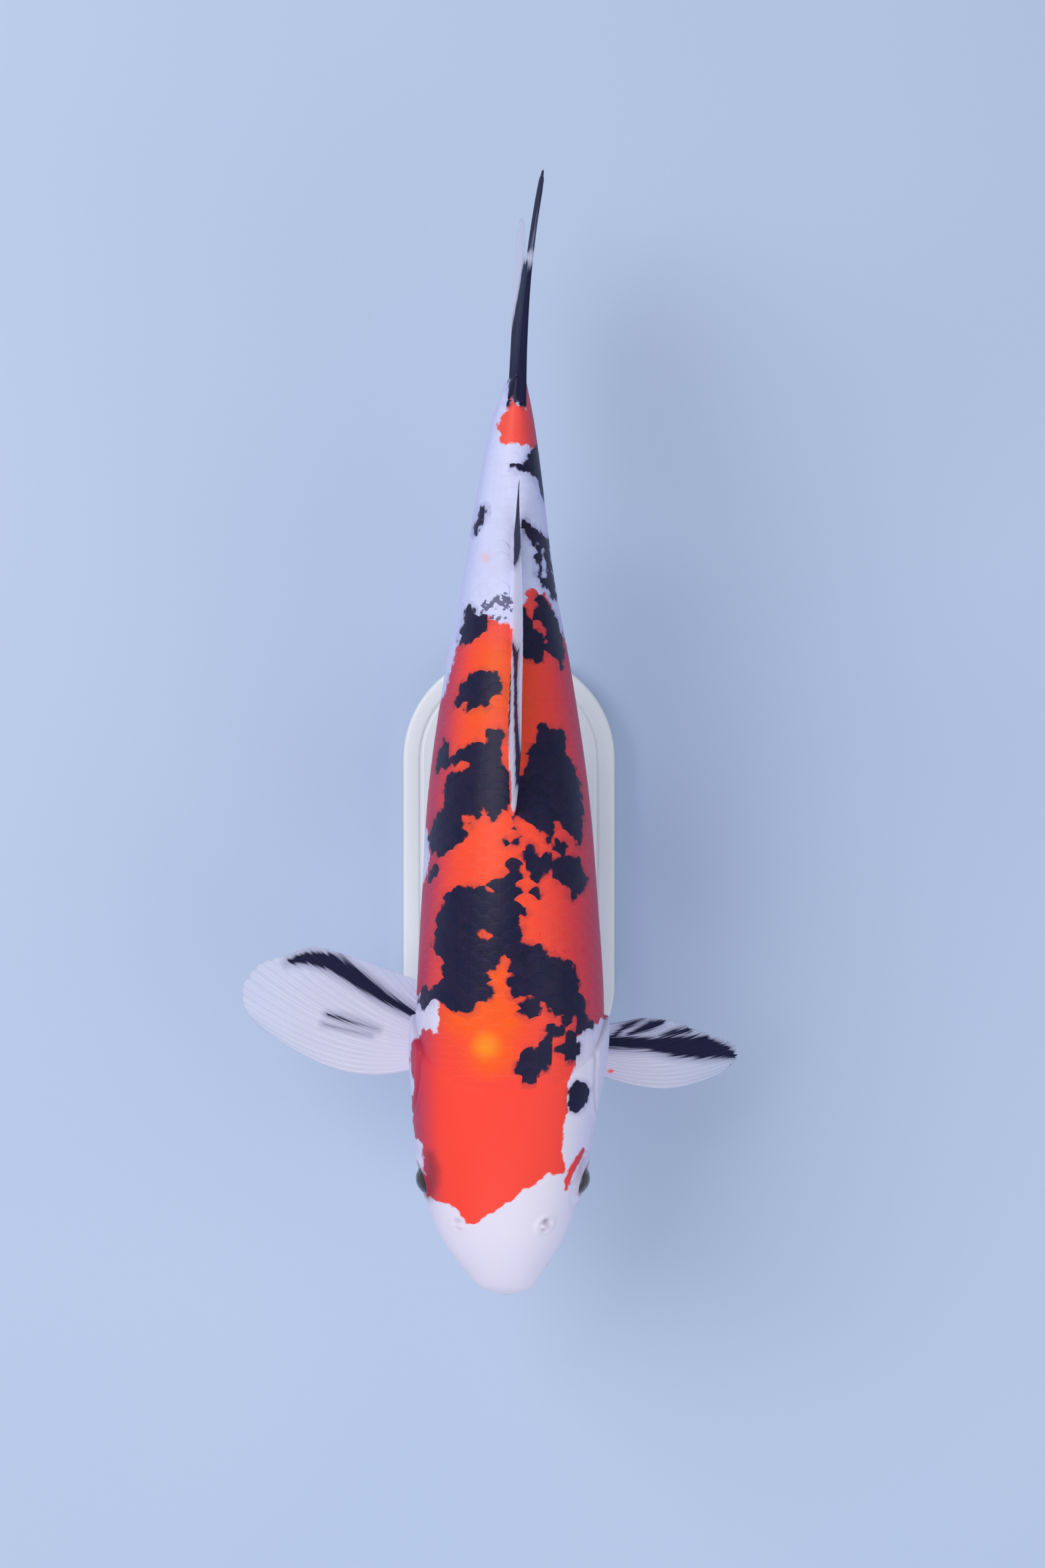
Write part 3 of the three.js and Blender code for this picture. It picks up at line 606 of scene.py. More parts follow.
class Finish:
    """A material with one Principled shader, built node by node."""

    def __init__(self, name):
        self.material = bpy.data.materials.new(name)
        self.material.use_nodes = True
        self.tree = self.material.node_tree
        self.shader = self.tree.nodes["Principled BSDF"]
        self.place = self.node("ShaderNodeTexCoord", output="Object")

    def fill(self, sockets, values):
        for key, value in values.items():
            if isinstance(value, Signal):
                self.tree.links.new(value.socket, sockets[key])
            else:
                sockets[key].default_value = value

    def node(self, kind, settings=None, values=None, output=0):
        """A node with its settings made first, and then its sockets given values or links."""
        made = self.tree.nodes.new(kind)
        for key, value in (settings or {}).items():
            if key == "stops":
                set_stops(made.color_ramp, value)
            else:
                setattr(made, key, value)
        self.fill(made.inputs, values or {})
        return Signal(self, made.outputs[output])

    def math(self, operation, *values):
        return self.node("ShaderNodeMath", {"operation": operation}, dict(enumerate(values)))

    def mark(self, name):
        """An attribute of the mesh."""
        return self.node("ShaderNodeAttribute", {"attribute_name": name}, output="Fac")

    def noise(self, size_mm, detail=2, place=None):
        """Soft random patches of this size, from 0 to 1."""
        values = {"Vector": place or self.place, "Scale": 1 / (size_mm * MM), "Detail": detail}
        return self.node("ShaderNodeTexNoise", None, values)

    def cells(self, size_mm):
        """The distance from the middle of the nearest cell of this size, 0 to about 1."""
        values = {"Vector": self.place, "Scale": 1 / (size_mm * MM)}
        return self.node("ShaderNodeTexVoronoi", None, values)

    def rise(self, value, low, high):
        """0 up to low, 1 from high on, and an even rise between them."""
        values = {"Value": value, "From Min": low, "From Max": high}
        return self.node("ShaderNodeMapRange", {"interpolation_type": "SMOOTHSTEP"}, values)

    def fall(self, value, low, high):
        """1 up to low, 0 from high on, and an even fall between them."""
        return 1 - self.rise(value, low, high)

    def colour(self, share, first, second):
        """The first colour turning into the second as share goes from 0 to 1."""
        values = dict(zip(MIX_SOCKETS, (share, first, second)))
        return self.node("ShaderNodeMix", {"data_type": "RGBA"}, values, output=MIX_RESULT)

    def stretched(self, *factors):
        """The place with each axis multiplied, so that patches come out long or short along it."""
        values = {0: self.place, 1: factors}
        return self.node("ShaderNodeVectorMath", {"operation": "MULTIPLY"}, values)

    def joined(self, x, y, z):
        return self.node("ShaderNodeCombineXYZ", None, {0: x, 1: y, 2: z})

    def bump(self, height, depth_mm):
        """The normal of a surface whose height from 0 to 1 stands depth_mm high."""
        return self.node("ShaderNodeBump", None, {"Height": height, "Distance": depth_mm * MM})

    def paint(self, **values):
        """Sets the shader's sockets; base_color stands for Base Color, and so on."""
        named = {key.replace("_", " ").title(): value for key, value in values.items()}
        self.fill(self.shader.inputs, {SOCKET_NAMES.get(k, k): v for k, v in named.items()})
        return self.material


SOCKET_NAMES = {"Specular Ior Level": "Specular IOR Level"}
MIX_SOCKETS, MIX_RESULT = (0, 6, 7), 2  # the sockets of a Mix node that is set to colours


def set_stops(ramp, stops):
    """Sets a colour ramp from [place, colour] pairs."""
    while len(ramp.elements) < len(stops):
        ramp.elements.new(1)
    for element, (place, colour) in zip(ramp.elements, stops):
        element.position = place
        element.color = colour


def srgb(red, green, blue):
    """A colour given as 0 to 255 on screen, as the shader takes it, by the standard curve."""
    linear = [((c / 255 + 0.055) / 1.055) ** 2.4 if c > 10 else c / 3295 for c in (red, green, blue)]
    return (*linear, 1.0)


# ---------------------------------------------------------------- what a user may change


def length(name, description, default_mm):
    """A length that the sidebar shows in the scene's units."""
    return bpy.props.FloatProperty(
        name=name, description=description, default=default_mm * MM, min=0, unit="LENGTH", precision=5
    )


def paint_colour(name, description, red, green, blue):
    """A colour that the sidebar shows, given as 0 to 255 on screen."""
    return bpy.props.FloatVectorProperty(
        name=name,
        description=description,
        default=srgb(red, green, blue),
        size=4,
        min=0,
        max=1,
        subtype="COLOR",
    )


class KoiSizes(bpy.types.PropertyGroup):
    """Sizes of the fine forms that the solids leave out."""

    bed: length("Scale bed", "How deep the skin under the scales lies inside the solids", 0.6)
    tilt: length("Scale tilt", "How far a scale's free edge stands above its root", 0.34)
    pitch_front: length("Front pitch", "From one scale to the next in a row, at the shoulder", 5.7)
    pitch_rear: length("Rear pitch", "From one scale to the next in a row, at the tail", 4.6)
    rows_front: length("Front row spacing", "From one row of scales to the next, at the shoulder", 5.9)
    rows_rear: length("Rear row spacing", "From one row of scales to the next, at the tail", 4.3)
    lid: length("Eye rim", "How far the rim of skin round each eye stands up", 0.7)
    web: length("Fin web", "Half the thickness of the web between two fin rays", 0.14)
    ray: length("Fin ray", "How far a fin ray stands out of the web at its root", 0.42)
    view_height: length("Camera height", "From the fish's axis up to the camera", VIEW_HEIGHT)
    frame_length: length("Frame length", "What the picture's long side takes in", 628)


class KoiColours(bpy.types.PropertyGroup):
    """Colours of the fish, its stand and the floor."""

    # its lavender is partly the fish's own white and partly painted blue light
    pearl: paint_colour("Pearl", "The white ground", 232, 223, 238)
    scarlet: paint_colour("Scarlet", "The red of the head", 255, 70, 54)
    # partly the red's own orange and partly a painted sheen on the back
    orange: paint_colour("Orange", "The red where it is brightest on the back", 255, 92, 20)
    # the colour of a painted highlight on the nape and of a small gold dot
    gold: paint_colour("Gold", "The glow on the nape", 255, 146, 24)
    # painted shade on the red flanks, turned purple by a painted blue reflection
    flank_shade_crimson: paint_colour("Crimson", "The deeper red low on the flanks", 166, 34, 84)
    # its navy is partly the fish's own black and partly painted blue light
    ink: paint_colour("Ink", "The black markings", 11, 12, 50)
    web: paint_colour("Fin web", "The clear white skin of the fins", 222, 224, 240)
    iris: paint_colour("Iris", "The ring round the pupil", 84, 44, 40)
    barbel: paint_colour("Barbel", "The feelers at the mouth", 232, 206, 204)
    lacquer: paint_colour("Lacquer", "The stand's base", 226, 228, 232)
    steel: paint_colour("Steel", "The stand's rods", 176, 180, 186)
    floor: paint_colour("Floor", "The studio floor", 176, 194, 226)


# ---------------------------------------------------------------- finishes

# Second tones, which the finishes blend into the colours that a user may change.
PEARL_PATCH = srgb(230, 222, 242)
# painted blue light on the white towards the tail
PEARL_AFT_BLUE_LIGHT = srgb(204, 212, 252)
# painted shade on the white flanks, tinted by a painted blue reflection
PEARL_SHADE = srgb(164, 172, 232)
# painted blue light on the red towards the tail
RED_AFT_BLUE_LIGHT = srgb(230, 92, 122)
INK_PATCH = srgb(20, 22, 68)
HALO_ON_PEARL = srgb(96, 102, 168)
HALO_ON_RED = srgb(120, 44, 66)
GREY_SMUDGE = srgb(58, 62, 104)
# painted shade in dark brown round the eyes
UMBER_SHADE = srgb(104, 30, 48)
# painted shade in the mouth, eye sockets, gill slits and nostril pits
CREASE_SHADE = srgb(92, 30, 44)
RIM_TONE = srgb(255, 214, 196)
ODD_SCALE = srgb(120, 60, 80)
FIN_STREAK = srgb(200, 206, 236)
FIN_ROOT = srgb(236, 218, 232)
FIN_RAY = srgb(244, 244, 254)
FIN_HALO = srgb(104, 108, 152)
FIN_INK = srgb(56, 58, 82)
EYE_SHADE = srgb(20, 16, 30)
BARBEL_TIP = srgb(206, 140, 140)
LACQUER_CLOUD = srgb(214, 217, 224)
LACQUER_EDGE = srgb(244, 244, 246)
BRUSHED_STEEL = srgb(214, 217, 221)
FLOOR_CLOUD = srgb(216, 223, 236)
OWN_MEASURE = 1000  # a noise of this size leaves the measure of a joined place as it is


def koi_finish(name, colours, scaled):
    """The wet skin of the fish, with its markings, and with painted shade, sheen, highlight and blue
    light on it. On scales it has their fine ribs.
    """
    skin = Finish(name)
    broad, fine = skin.noise(38), skin.noise(2.2, 3)
    lobes = skin.cells(3.6)
    wobble = (fine - 0.5) * 1.6 + (lobes - 0.4) * 1.3
    # painted shade on the flanks, with a painted blue reflection in it
    shade = skin.mark("shade")
    pearl = skin.colour(skin.rise(broad, 0.35, 0.7), colours.pearl, PEARL_PATCH)
    # painted blue light on the white towards the tail
    pearl = skin.colour(skin.mark("aft") * 0.7, pearl, PEARL_AFT_BLUE_LIGHT)
    pearl = skin.colour(shade * 0.36, pearl, PEARL_SHADE)
    # a painted highlight on the nape, and a small gold dot further back
    tint_and_sheen = skin.fall(skin.mark("gold") + wobble * 0.4, -4, 4.5)
    pearl = skin.colour(tint_and_sheen * 0.8, pearl, colours.gold)
    # orange along the back, partly the red's own and partly a painted sheen
    warm = skin.fall(skin.mark("warm") + wobble, -2, 9)
    # the back's orange, partly the red's own and partly a painted sheen
    red = skin.colour(skin.mark("back") * broad, colours.scarlet, colours.orange)
    red = skin.colour(warm * 0.9, red, colours.orange)
    red = skin.colour(tint_and_sheen * 0.95, red, colours.gold)
    # painted blue light on the red towards the tail
    red = skin.colour(skin.rise(skin.mark("aft"), 0.9, 1) * 0.22, red, RED_AFT_BLUE_LIGHT)
    # the red goes into painted shade on the flanks
    red = skin.colour(shade, red, colours.flank_shade_crimson)
    ink = skin.colour(skin.rise(fine, 0.4, 0.75) * 0.5, colours.ink, INK_PATCH)
    scarlet = skin.fall(skin.mark("scarlet") + wobble, -0.35, 0.45)
    black = skin.fall(skin.mark("ink") + wobble, -0.3, 0.4)
    grey = skin.fall(skin.mark("grey") + wobble + (skin.noise(2.4, 4) - 0.5) * 13, -0.4, 0.4)
    # painted shade in dark brown round the eyes
    umber = skin.fall(skin.mark("umber") + wobble * 0.5, -3, 2)
    halo = skin.fall(skin.mark("ink") + wobble, 0, 2.4) * 0.3
    base = skin.colour(scarlet, pearl, red)
    base = skin.colour(halo, base, skin.colour(scarlet, HALO_ON_PEARL, HALO_ON_RED))
    base = skin.colour(grey * 0.85, base, GREY_SMUDGE)
    base = skin.colour(umber * 0.6, base, UMBER_SHADE)
    base = skin.colour(black, base, ink)
    # painted shade in the mouth, eye sockets, gill slits and nostril pits
    base = skin.colour(skin.mark("crease") * 0.7, base, CREASE_SHADE)
    if scaled:
        rim = skin.rise(skin.mark("rim"), 0.8, 1)
        base = skin.colour(rim * (1 - black) * 0.03, base, RIM_TONE)
        base = skin.colour(skin.mark("tone") * 0.05, base, ODD_SCALE)
        ribs = skin.math("SINE", skin.mark("spoke") * 34) * 0.5 + 0.5
        rings = skin.math("SINE", skin.mark("ring") * 30) * 0.5 + 0.5
        height = ribs * 0.4 + rings * 0.35 + fine * 0.5
        normal = skin.bump(height, 0.035)
    else:
        height = skin.rise(skin.cells(1.3), 0.05, 0.5) * 0.4 + fine * 0.6
        normal = skin.bump(height, 0.05)
    return skin.paint(
        base_color=base,
        roughness=0.42 + fine * 0.12,
        specular_ior_level=0.2,
        normal=normal,
        coat_weight=0.08,
        coat_roughness=0.3,
    )


def fin_finish(colours):
    """Clear white skin on paler rays, with ink along some of them."""
    fin = Finish("fin")
    across, along, ray = fin.mark("across"), fin.mark("along"), fin.mark("ray")
    streaks = fin.noise(OWN_MEASURE, 3, fin.joined(across * 60, along * 2.6, 0.0))
    web = fin.colour(streaks, colours.web, FIN_STREAK)
    web = fin.colour((1 - along) * 0.5, web, FIN_ROOT)
    base = fin.colour(ray * 0.36, web, FIN_RAY)
    ink_edge = fin.mark("ink") + (streaks - 0.5) * 4 - ray * 0.4
    black = fin.fall(ink_edge, -1, 0.7)
    base = fin.colour(fin.fall(ink_edge, 0, 3.4) * 0.4, base, FIN_HALO)
    ink = fin.colour(0.05 + streaks * 0.45, colours.ink, FIN_INK)
    base = fin.colour(black, base, ink)
    scarlet = fin.fall(fin.mark("scarlet") + (streaks - 0.5) * 2, -0.5, 0.5)
    base = fin.colour(scarlet * 0.85, base, colours.scarlet)
    cover = fin.rise(0.58 + ray * 0.14 + (1 - along) * 0.36 + black * 0.5 + scarlet * 0.4, 0.1, 1)
    joints = fin.math("SINE", along * 420) * 0.5 + 0.5
    return fin.paint(
        base_color=base,
        roughness=0.5 + streaks * 0.1,
        alpha=cover,
        normal=fin.bump(ray * joints * 0.6 + streaks, 0.04),
        specular_ior_level=0.06,
        coat_weight=0.02,
        coat_roughness=0.3,
    )


def eye_finish(colours):
    """A black pupil in a metallic ring, with a pale white of the eye behind it, under a clear coat."""
    eye = Finish("eye")
    polar, around = eye.mark("polar"), eye.mark("around")
    flecks = eye.noise(OWN_MEASURE, 3, eye.joined(around * 3, polar * 5, 0.0))
    stops = [
        (0.0, srgb(4, 4, 7)),
        (0.27, srgb(5, 5, 8)),
        (0.285, srgb(168, 108, 58)),
        (0.33, colours.iris),
        (0.42, srgb(66, 38, 44)),
        (0.5, srgb(30, 20, 30)),
        (0.58, srgb(150, 84, 74)),
        (0.8, srgb(206, 196, 206)),
        (1.0, srgb(150, 70, 60)),
    ]
    from_pupil = {"Fac": polar + (flecks - 0.5) * 0.03}
    rings = eye.node("ShaderNodeValToRGB", {"stops": stops}, from_pupil)
    ringed = eye.rise(polar, 0.26, 0.3) * eye.fall(polar, 0.5, 0.56)
    upper = eye.rise(eye.mark("upper") + flecks * 0.6, 0.2, 1.1)
    base = eye.colour(ringed * upper * 0.9, rings, EYE_SHADE)
    return eye.paint(
        base_color=base,
        roughness=0.2,
        metallic=ringed * (1 - upper) * 0.5,
        coat_weight=1.0,
        coat_roughness=0.03,
        normal=eye.bump(flecks * ringed, 0.05),
    )


def barbel_finish(colours):
    """Soft pink-white feelers, redder towards the tip."""
    feeler = Finish("barbel")
    grain = feeler.noise(0.9, 3)
    tip = feeler.mark("along")
    base = feeler.colour(tip * 0.5 + grain * 0.2, colours.barbel, BARBEL_TIP)
    return feeler.paint(
        base_color=base, roughness=0.4, normal=feeler.bump(grain, 0.06), coat_weight=0.3
    )


def lacquer_finish(colours):
    """A satin sprayed lacquer, with faint orange peel, and lighter along its edges."""
    coat = Finish("base_lacquer")
    peel, cloud = coat.noise(1.6, 2), coat.noise(60, 2)
    base = coat.colour(coat.rise(cloud, 0.3, 0.75) * 0.5, colours.lacquer, LACQUER_CLOUD)
    base = coat.colour(coat.mark("edge") * 0.4, base, LACQUER_EDGE)
    return coat.paint(
        base_color=base, roughness=0.34 + cloud * 0.14, normal=coat.bump(peel, 0.03), coat_weight=0.2
    )


def steel_finish(colours):
    """Steel brushed along the rod."""
    steel = Finish("rod_steel")
    brushed = steel.noise(1, 3, steel.stretched(2.2, 2.2, 0.03))
    base = steel.colour(brushed, colours.steel, BRUSHED_STEEL)
    return steel.paint(
        base_color=base, metallic=1.0, roughness=0.24 + brushed * 0.16, normal=steel.bump(brushed, 0.02)
    )


def floor_finish(colours):
    """A plain pale floor with a faint grain."""
    floor = Finish("floor")
    grain, cloud = floor.noise(3, 3), floor.noise(400, 2)
    base = floor.colour(cloud * 0.35, colours.floor, FLOOR_CLOUD)
    return floor.paint(base_color=base, roughness=0.6, normal=floor.bump(grain, 0.04))


# ---------------------------------------------------------------- skin

FLESH_NODES = [
    "head",
    "lower_jaw",
    "gill_cover_left",
    "gill_cover_right",
    "trunk_front",
    "trunk_middle",
    "trunk_rear",
    "tail_stalk",
]

# Side-view lines of the head, as [station, height].
HEAD_LINE = [
    (84, 70), (87, 46), (98, 28), (110, 13), (113.5, -2), (109, -17), (98, -29), (84, -38),
    (66, -50), (52, -70),
]
COVER_LINE = [(102, 25.5), (91, 24), (80, 17.5), (74, 6), (73, -7), (77, -19), (86, -30), (94, -35)]
LOWER_COVER_LINE = [(80, -24), (94, -24), (106, -15)]
MOUTH_LINE = [(-3, -8.4), (6, -10.5), (12, -14), (16.5, -18.5)]
CHEEK_LINE = [(15, -21), (19.5, -14), (20, -5), (15, 4)]
UNDER_EYE_LINE = [(36, 0), (44, -4.5), (55, -5), (64, 1), (68, 12)]
NOSTRIL_STATION, NOSTRIL_TURN = 32.3, 0.6
EYE_OPENING = 6.1
EYE_REACH_FROM = 12  # the relief round the eyes is kept this far off the fish's middle
PECTORAL_ROOTS = {
    LEFT: [(30, 90, -29), (30, 99, -29.5), (29, 108, -31)],
    RIGHT: [(-28, 92, -27), (-27.5, 100, -29.5), (-26.5, 109, -32)],
}

# Each pair: a row of the skin's grid and its station. Rows are close together on the head.
SKIN_ROWS = np.array([(0, 0.12), (26, 8), (222, 117), (312, FLESH_LENGTH)])
SKIN_COLUMNS = 304
TURN_SAMPLES = 4001  # for spacing the skin's columns
UNWRAP_SHARE = 0.98  # how much of the unwrap's square the skin fills
COVER_RISE, SLIT_DEPTH = 2, 1.6  # the gill covers and the slits behind them
MOUTH_DEPTH, SOCKET_DEPTH = 1.3, 3.6
LEFT_NOSTRIL, RIGHT_NOSTRIL = 1, 0.45  # how strongly each shows
SNOUT_EASING = 0.8  # the lips stand out by less than this, so the snout keeps the solids' length


def curve_of(line, count=48):
    """A side-view line as closely spaced points of a smooth curve."""
    return [tuple(p) for p in spline(line, np.linspace(0, 1, count))]


def behind_head(station, height):
    """The distance behind the line where the head ends, negative on the head."""
    return outline_distance([*curve_of(HEAD_LINE), (-20, -75), (-20, 75)], station, height)


def cover_bulge(station, turn):
    """The gill covers stand proud of the flank towards their hind edge."""
    flank = np.abs(np.sin(turn)) * (1 - smooth(np.abs(np.cos(turn)), 0.35, 0.95))
    return COVER_RISE * flank * smooth(station, 74, 106)


def skin_turns():
    """Turns of the skin's columns, closer together at the level of the eyes."""
    turns = np.linspace(-math.pi, math.pi, TURN_SAMPLES)
    density = 1 + bell(np.abs(turns) - 1.3, 0.45)
    share = np.cumsum(density)
    share = (share - share[0]) / (share[-1] - share[0])
    return np.interp(np.linspace(0, 1, SKIN_COLUMNS + 1), share, turns)


def unwrap(station, turn):
    """The place of a point of the skin on its unwrap."""
    u = 0.5 + turn / (2 * math.pi) * UNWRAP_SHARE
    v = (1 - UNWRAP_SHARE) / 2 + station / FLESH_LENGTH * UNWRAP_SHARE
    return np.stack([u, v], axis=-1)


def mouth_relief(station, height):
    """The slit of the mouth, its lips and the folds behind them."""
    slit = line_distance(curve_of(MOUTH_LINE), station, height)
    fold = line_distance(curve_of(CHEEK_LINE), station, height)
    near = 1 - smooth(station, 19, 27)
    lips = 0.75 * bell(slit - 1.7, 1.3) - 0.3 * bell(slit - 4.4, 0.7)
    cut = bell(slit, 0.5)
    # the second value marks where shade is painted into the slit
    return near * (lips - MOUTH_DEPTH * cut - 0.35 * bell(fold, 0.8)), near * cut


def nostril_relief(points, side):
    """Two small pits on each side of the snout, with a flap of skin standing between them."""
    turn = np.array(side * NOSTRIL_TURN)
    offset = points - body_points(np.array(NOSTRIL_STATION), turn)
    along = offset[..., 1]
    across = np.hypot(offset[..., 0], offset[..., 2])
    pits = bell(np.hypot(along + 2.4, across), 1.1) + bell(np.hypot(along - 1.9, across), 1.4)
    flap = bell(along + 0.3, 0.8) * bell(across, 2.1)
    rim = bell(np.hypot(along, across) - 3.6, 1.0)
    strength = LEFT_NOSTRIL if side == LEFT else RIGHT_NOSTRIL
    # the second value marks where shade is painted into the pits
    return strength * (1.5 * flap + 0.5 * rim - 1.2 * pits), strength * pits


def eye_relief(points, lid):
    """The socket, the rim of skin round the eye and the fold outside it."""
    away = np.hypot((points[..., 1] - EYE_STATION) / 1.07, points[..., 2] - EYE_HEIGHT)
    beside = np.abs(points[..., 0]) > EYE_REACH_FROM
    socket = 1 - smooth(away, EYE_OPENING - 0.8, EYE_OPENING + 0.2)
    rim, fold = bell(away - EYE_OPENING - 1.1, 1.0), bell(away - 10.4, 1.1)
    relief = lid * rim - 0.3 * fold - SOCKET_DEPTH * socket
    # the second value marks where shade is painted at the socket's edge
    return beside * relief, beside * bell(away - EYE_OPENING + 0.4, 0.6)


def gill_relief(points, turn):
    """The plate of the gill cover, the slit behind it and the creases on it."""
    station, height = points[..., 1], points[..., 2]
    behind = behind_head(station, height)
    open_part = smooth(height, -44, -32) * (1 - smooth(height, 16, 29))
    crease = line_distance(curve_of(COVER_LINE), station, height)
    lower = line_distance(curve_of(LOWER_COVER_LINE), station, height)
    under_eye = line_distance(curve_of(UNDER_EYE_LINE), station, height)
    slit = bell(behind - 0.9, 0.8) * open_part
    relief = (
        cover_bulge(station, turn) * (1 - smooth(behind, -0.3, 0.5))
        - SLIT_DEPTH * slit
        - 0.5 * bell(crease, 0.9)
        + 0.25 * bell(crease - 2.4, 1.4)
        - 0.22 * bell(lower, 0.8)
        - 0.15 * bell(under_eye, 1.2)
    )
    # the second value marks where shade is painted into the slit and the crease
    return relief, slit + 0.25 * bell(crease, 0.7)


def fin_swelling(points):
    """The flesh swells a little where each pectoral fin grows out."""
    swelling = 0
    for root in PECTORAL_ROOTS.values():
        line = spline(root, np.linspace(0, 1, 9))
        away = np.min(np.linalg.norm(points[..., None, :] - line, axis=-1), axis=-1)
        swelling = swelling + 1.3 * bell(away, 5)
    return swelling


def skin_grid(sizes):
    """Points of the skin, its markings and the stations and turns of its rows and columns."""
    stations = np.interp(np.arange(SKIN_ROWS[-1, 0] + 1), *SKIN_ROWS.T)
    turns = skin_turns()
    station, turn = np.meshgrid(stations, turns[:-1], indexing="ij")
    points = body_points(station, turn)
    round_way = np.roll(points, -1, axis=1) - np.roll(points, 1, axis=1)
    normal = unit(np.cross(round_way, np.gradient(points, axis=0)))
    behind = behind_head(points[..., 1], points[..., 2])
    scaled = smooth(behind, -4, 3)
    mouth, mouth_crease_shade = mouth_relief(points[..., 1], points[..., 2])
    eyes, eye_crease_shade = eye_relief(points, sizes.lid / MM)
    gills, gill_crease_shade = gill_relief(points, turn)
    left_nostril, left_pit_shade = nostril_relief(points, LEFT)
    right_nostril, right_pit_shade = nostril_relief(points, RIGHT)
    relief = mouth + eyes + gills + left_nostril + right_nostril - 0.05
    relief = relief + fin_swelling(points) - scaled * (sizes.bed / MM - 0.05)
    relief = relief - SNOUT_EASING * (1 - smooth(station, 0.5, 6))
    marks = body_markings(*drawing_place(station, turn))
    marks.update(flank_shades(station, turn))
    # painted shade in the slits, sockets and pits
    marks["crease"] = np.clip(mouth_crease_shade + eye_crease_shade + gill_crease_shade + left_pit_shade + right_pit_shade, 0, 1)
    return points + normal * relief[..., None], marks, stations, turns


def make_skin(sizes, colours):
    """One seamless skin for the head, trunk and tail stalk."""
    points, marks, stations, turns = skin_grid(sizes)
    rows, columns = points.shape[:2]
    faces = grid_faces(rows, columns, closed=True)
    row, column = np.divmod(np.arange((rows - 1) * columns), columns)
    corners = [(row, column), (row, column + 1), (row + 1, column + 1), (row + 1, column)]
    uvs = np.stack([unwrap(stations[r], turns[c]) for r, c in corners], axis=1)
    snout = [list(range(columns))[::-1]]
    snout_uvs = unwrap(np.full(columns, stations[0]), turns[:-1][::-1])
    uvs = np.concatenate([uvs.reshape(-1, 2), snout_uvs])
    finish = koi_finish("koi_skin", colours, scaled=False)
    faces = [*faces.tolist(), *snout]
    skin = add_piece("skin", points, faces, finish, marks, uvs)
    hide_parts(*FLESH_NODES)


# ---------------------------------------------------------------- scales

LATERAL_TURN = 1.62  # the lateral line runs along this turn
SCALE_RINGS = [0.34, 0.56, 0.72, 0.83, 0.91, 0.97, 1.0]
SCALE_CORNERS = 28
SCALE_SPREAD = 0.95  # half a scale's width, in row spacings
OFBAKE_PATCH = 0.003  # each scale's patch on the unwrap is this wide
SCALE_MARKING = 0.4  # how much of its marking a scale has from its middle
SCALE_TRIANGLES = SCALE_CORNERS * 2 * (len(SCALE_RINGS) + 1)
MOST_TRIANGLES = 185_000  # in one piece of the scales
MOST_ROWS = 18  # rows on each side of a lateral line
SCALES_FROM, SCALES_TO = 60.0, FLESH_LENGTH - 7  # stations between which scales are looked for
SHOULDER, TAIL = 90, 360  # the scales' sizes change evenly between these stations
LAST_EDGE = FLESH_LENGTH - 0.5  # no scale reaches further back
SEED_STEP = 0.5
SCALE_SEED = 7
LEFT_LINE, RIGHT_LINE, BACK_LINE, BELLY_LINE = range(4)  # the lines that rows are counted from
SCALE_DOME, SCALE_THINNING = 0.1, 0.07  # the rise in the middle, and the drop at the rim
RIM_THICKNESS, MIDDLE_THICKNESS = 0.1, 0.15  # a scale's at its rim, and what its middle adds
RIB_CENTRE = 1.2  # a scale's ribs and rings run round a point this many pitches before its middle
GIRTH_TURN, GIRTH_SAMPLES, GIRTH_REACH = 4.2, 1401, 190  # the tables go a little past the belly
DORSAL_BASE, ANAL_BASE = (188, 303), (262, 296)  # no scales between these stations


class Girth:
    """Distances round the body from the middle of the back, and the turns that they lead to."""

    def __init__(self):
        self.stations = np.arange(SCALES_FROM, FLESH_LENGTH)
        self.turns = np.linspace(-GIRTH_TURN, GIRTH_TURN, GIRTH_SAMPLES)
        station, turn = np.meshgrid(self.stations, self.turns, indexing="ij")
        steps = np.linalg.norm(np.diff(body_points(station, turn), axis=1), axis=2)
        arcs = np.pad(np.cumsum(steps, axis=1), ((0, 0), (1, 0)))
        self.arcs = arcs - arcs[:, [GIRTH_SAMPLES // 2]]
        self.reach = np.arange(-float(GIRTH_REACH), GIRTH_REACH + 1)
        self.table = np.array([np.interp(self.reach, row, self.turns) for row in self.arcs])

    def arc_along(self, turn):
        """A function that gives the distance from the back to a turn, at any station."""
        arcs = [np.interp(turn, self.turns, row) for row in self.arcs]
        return lambda station: np.interp(station, self.stations, arcs)

    def turn_at(self, station, arc):
        """The turn that lies this far round the body from the middle of the back."""
        # The table is read a little short of its end, where there is no next row or column.
        row = np.clip(station - self.stations[0], 0, len(self.stations) - 1.001)
        column = np.clip(arc - self.reach[0], 0, len(self.reach) - 1.001)
        r, c = row.astype(int), column.astype(int)
        down, across = row - r, column - c
        upper = blend(self.table[r, c], self.table[r, c + 1], across)
        lower = blend(self.table[r + 1, c], self.table[r + 1, c + 1], across)
        return blend(upper, lower, down)


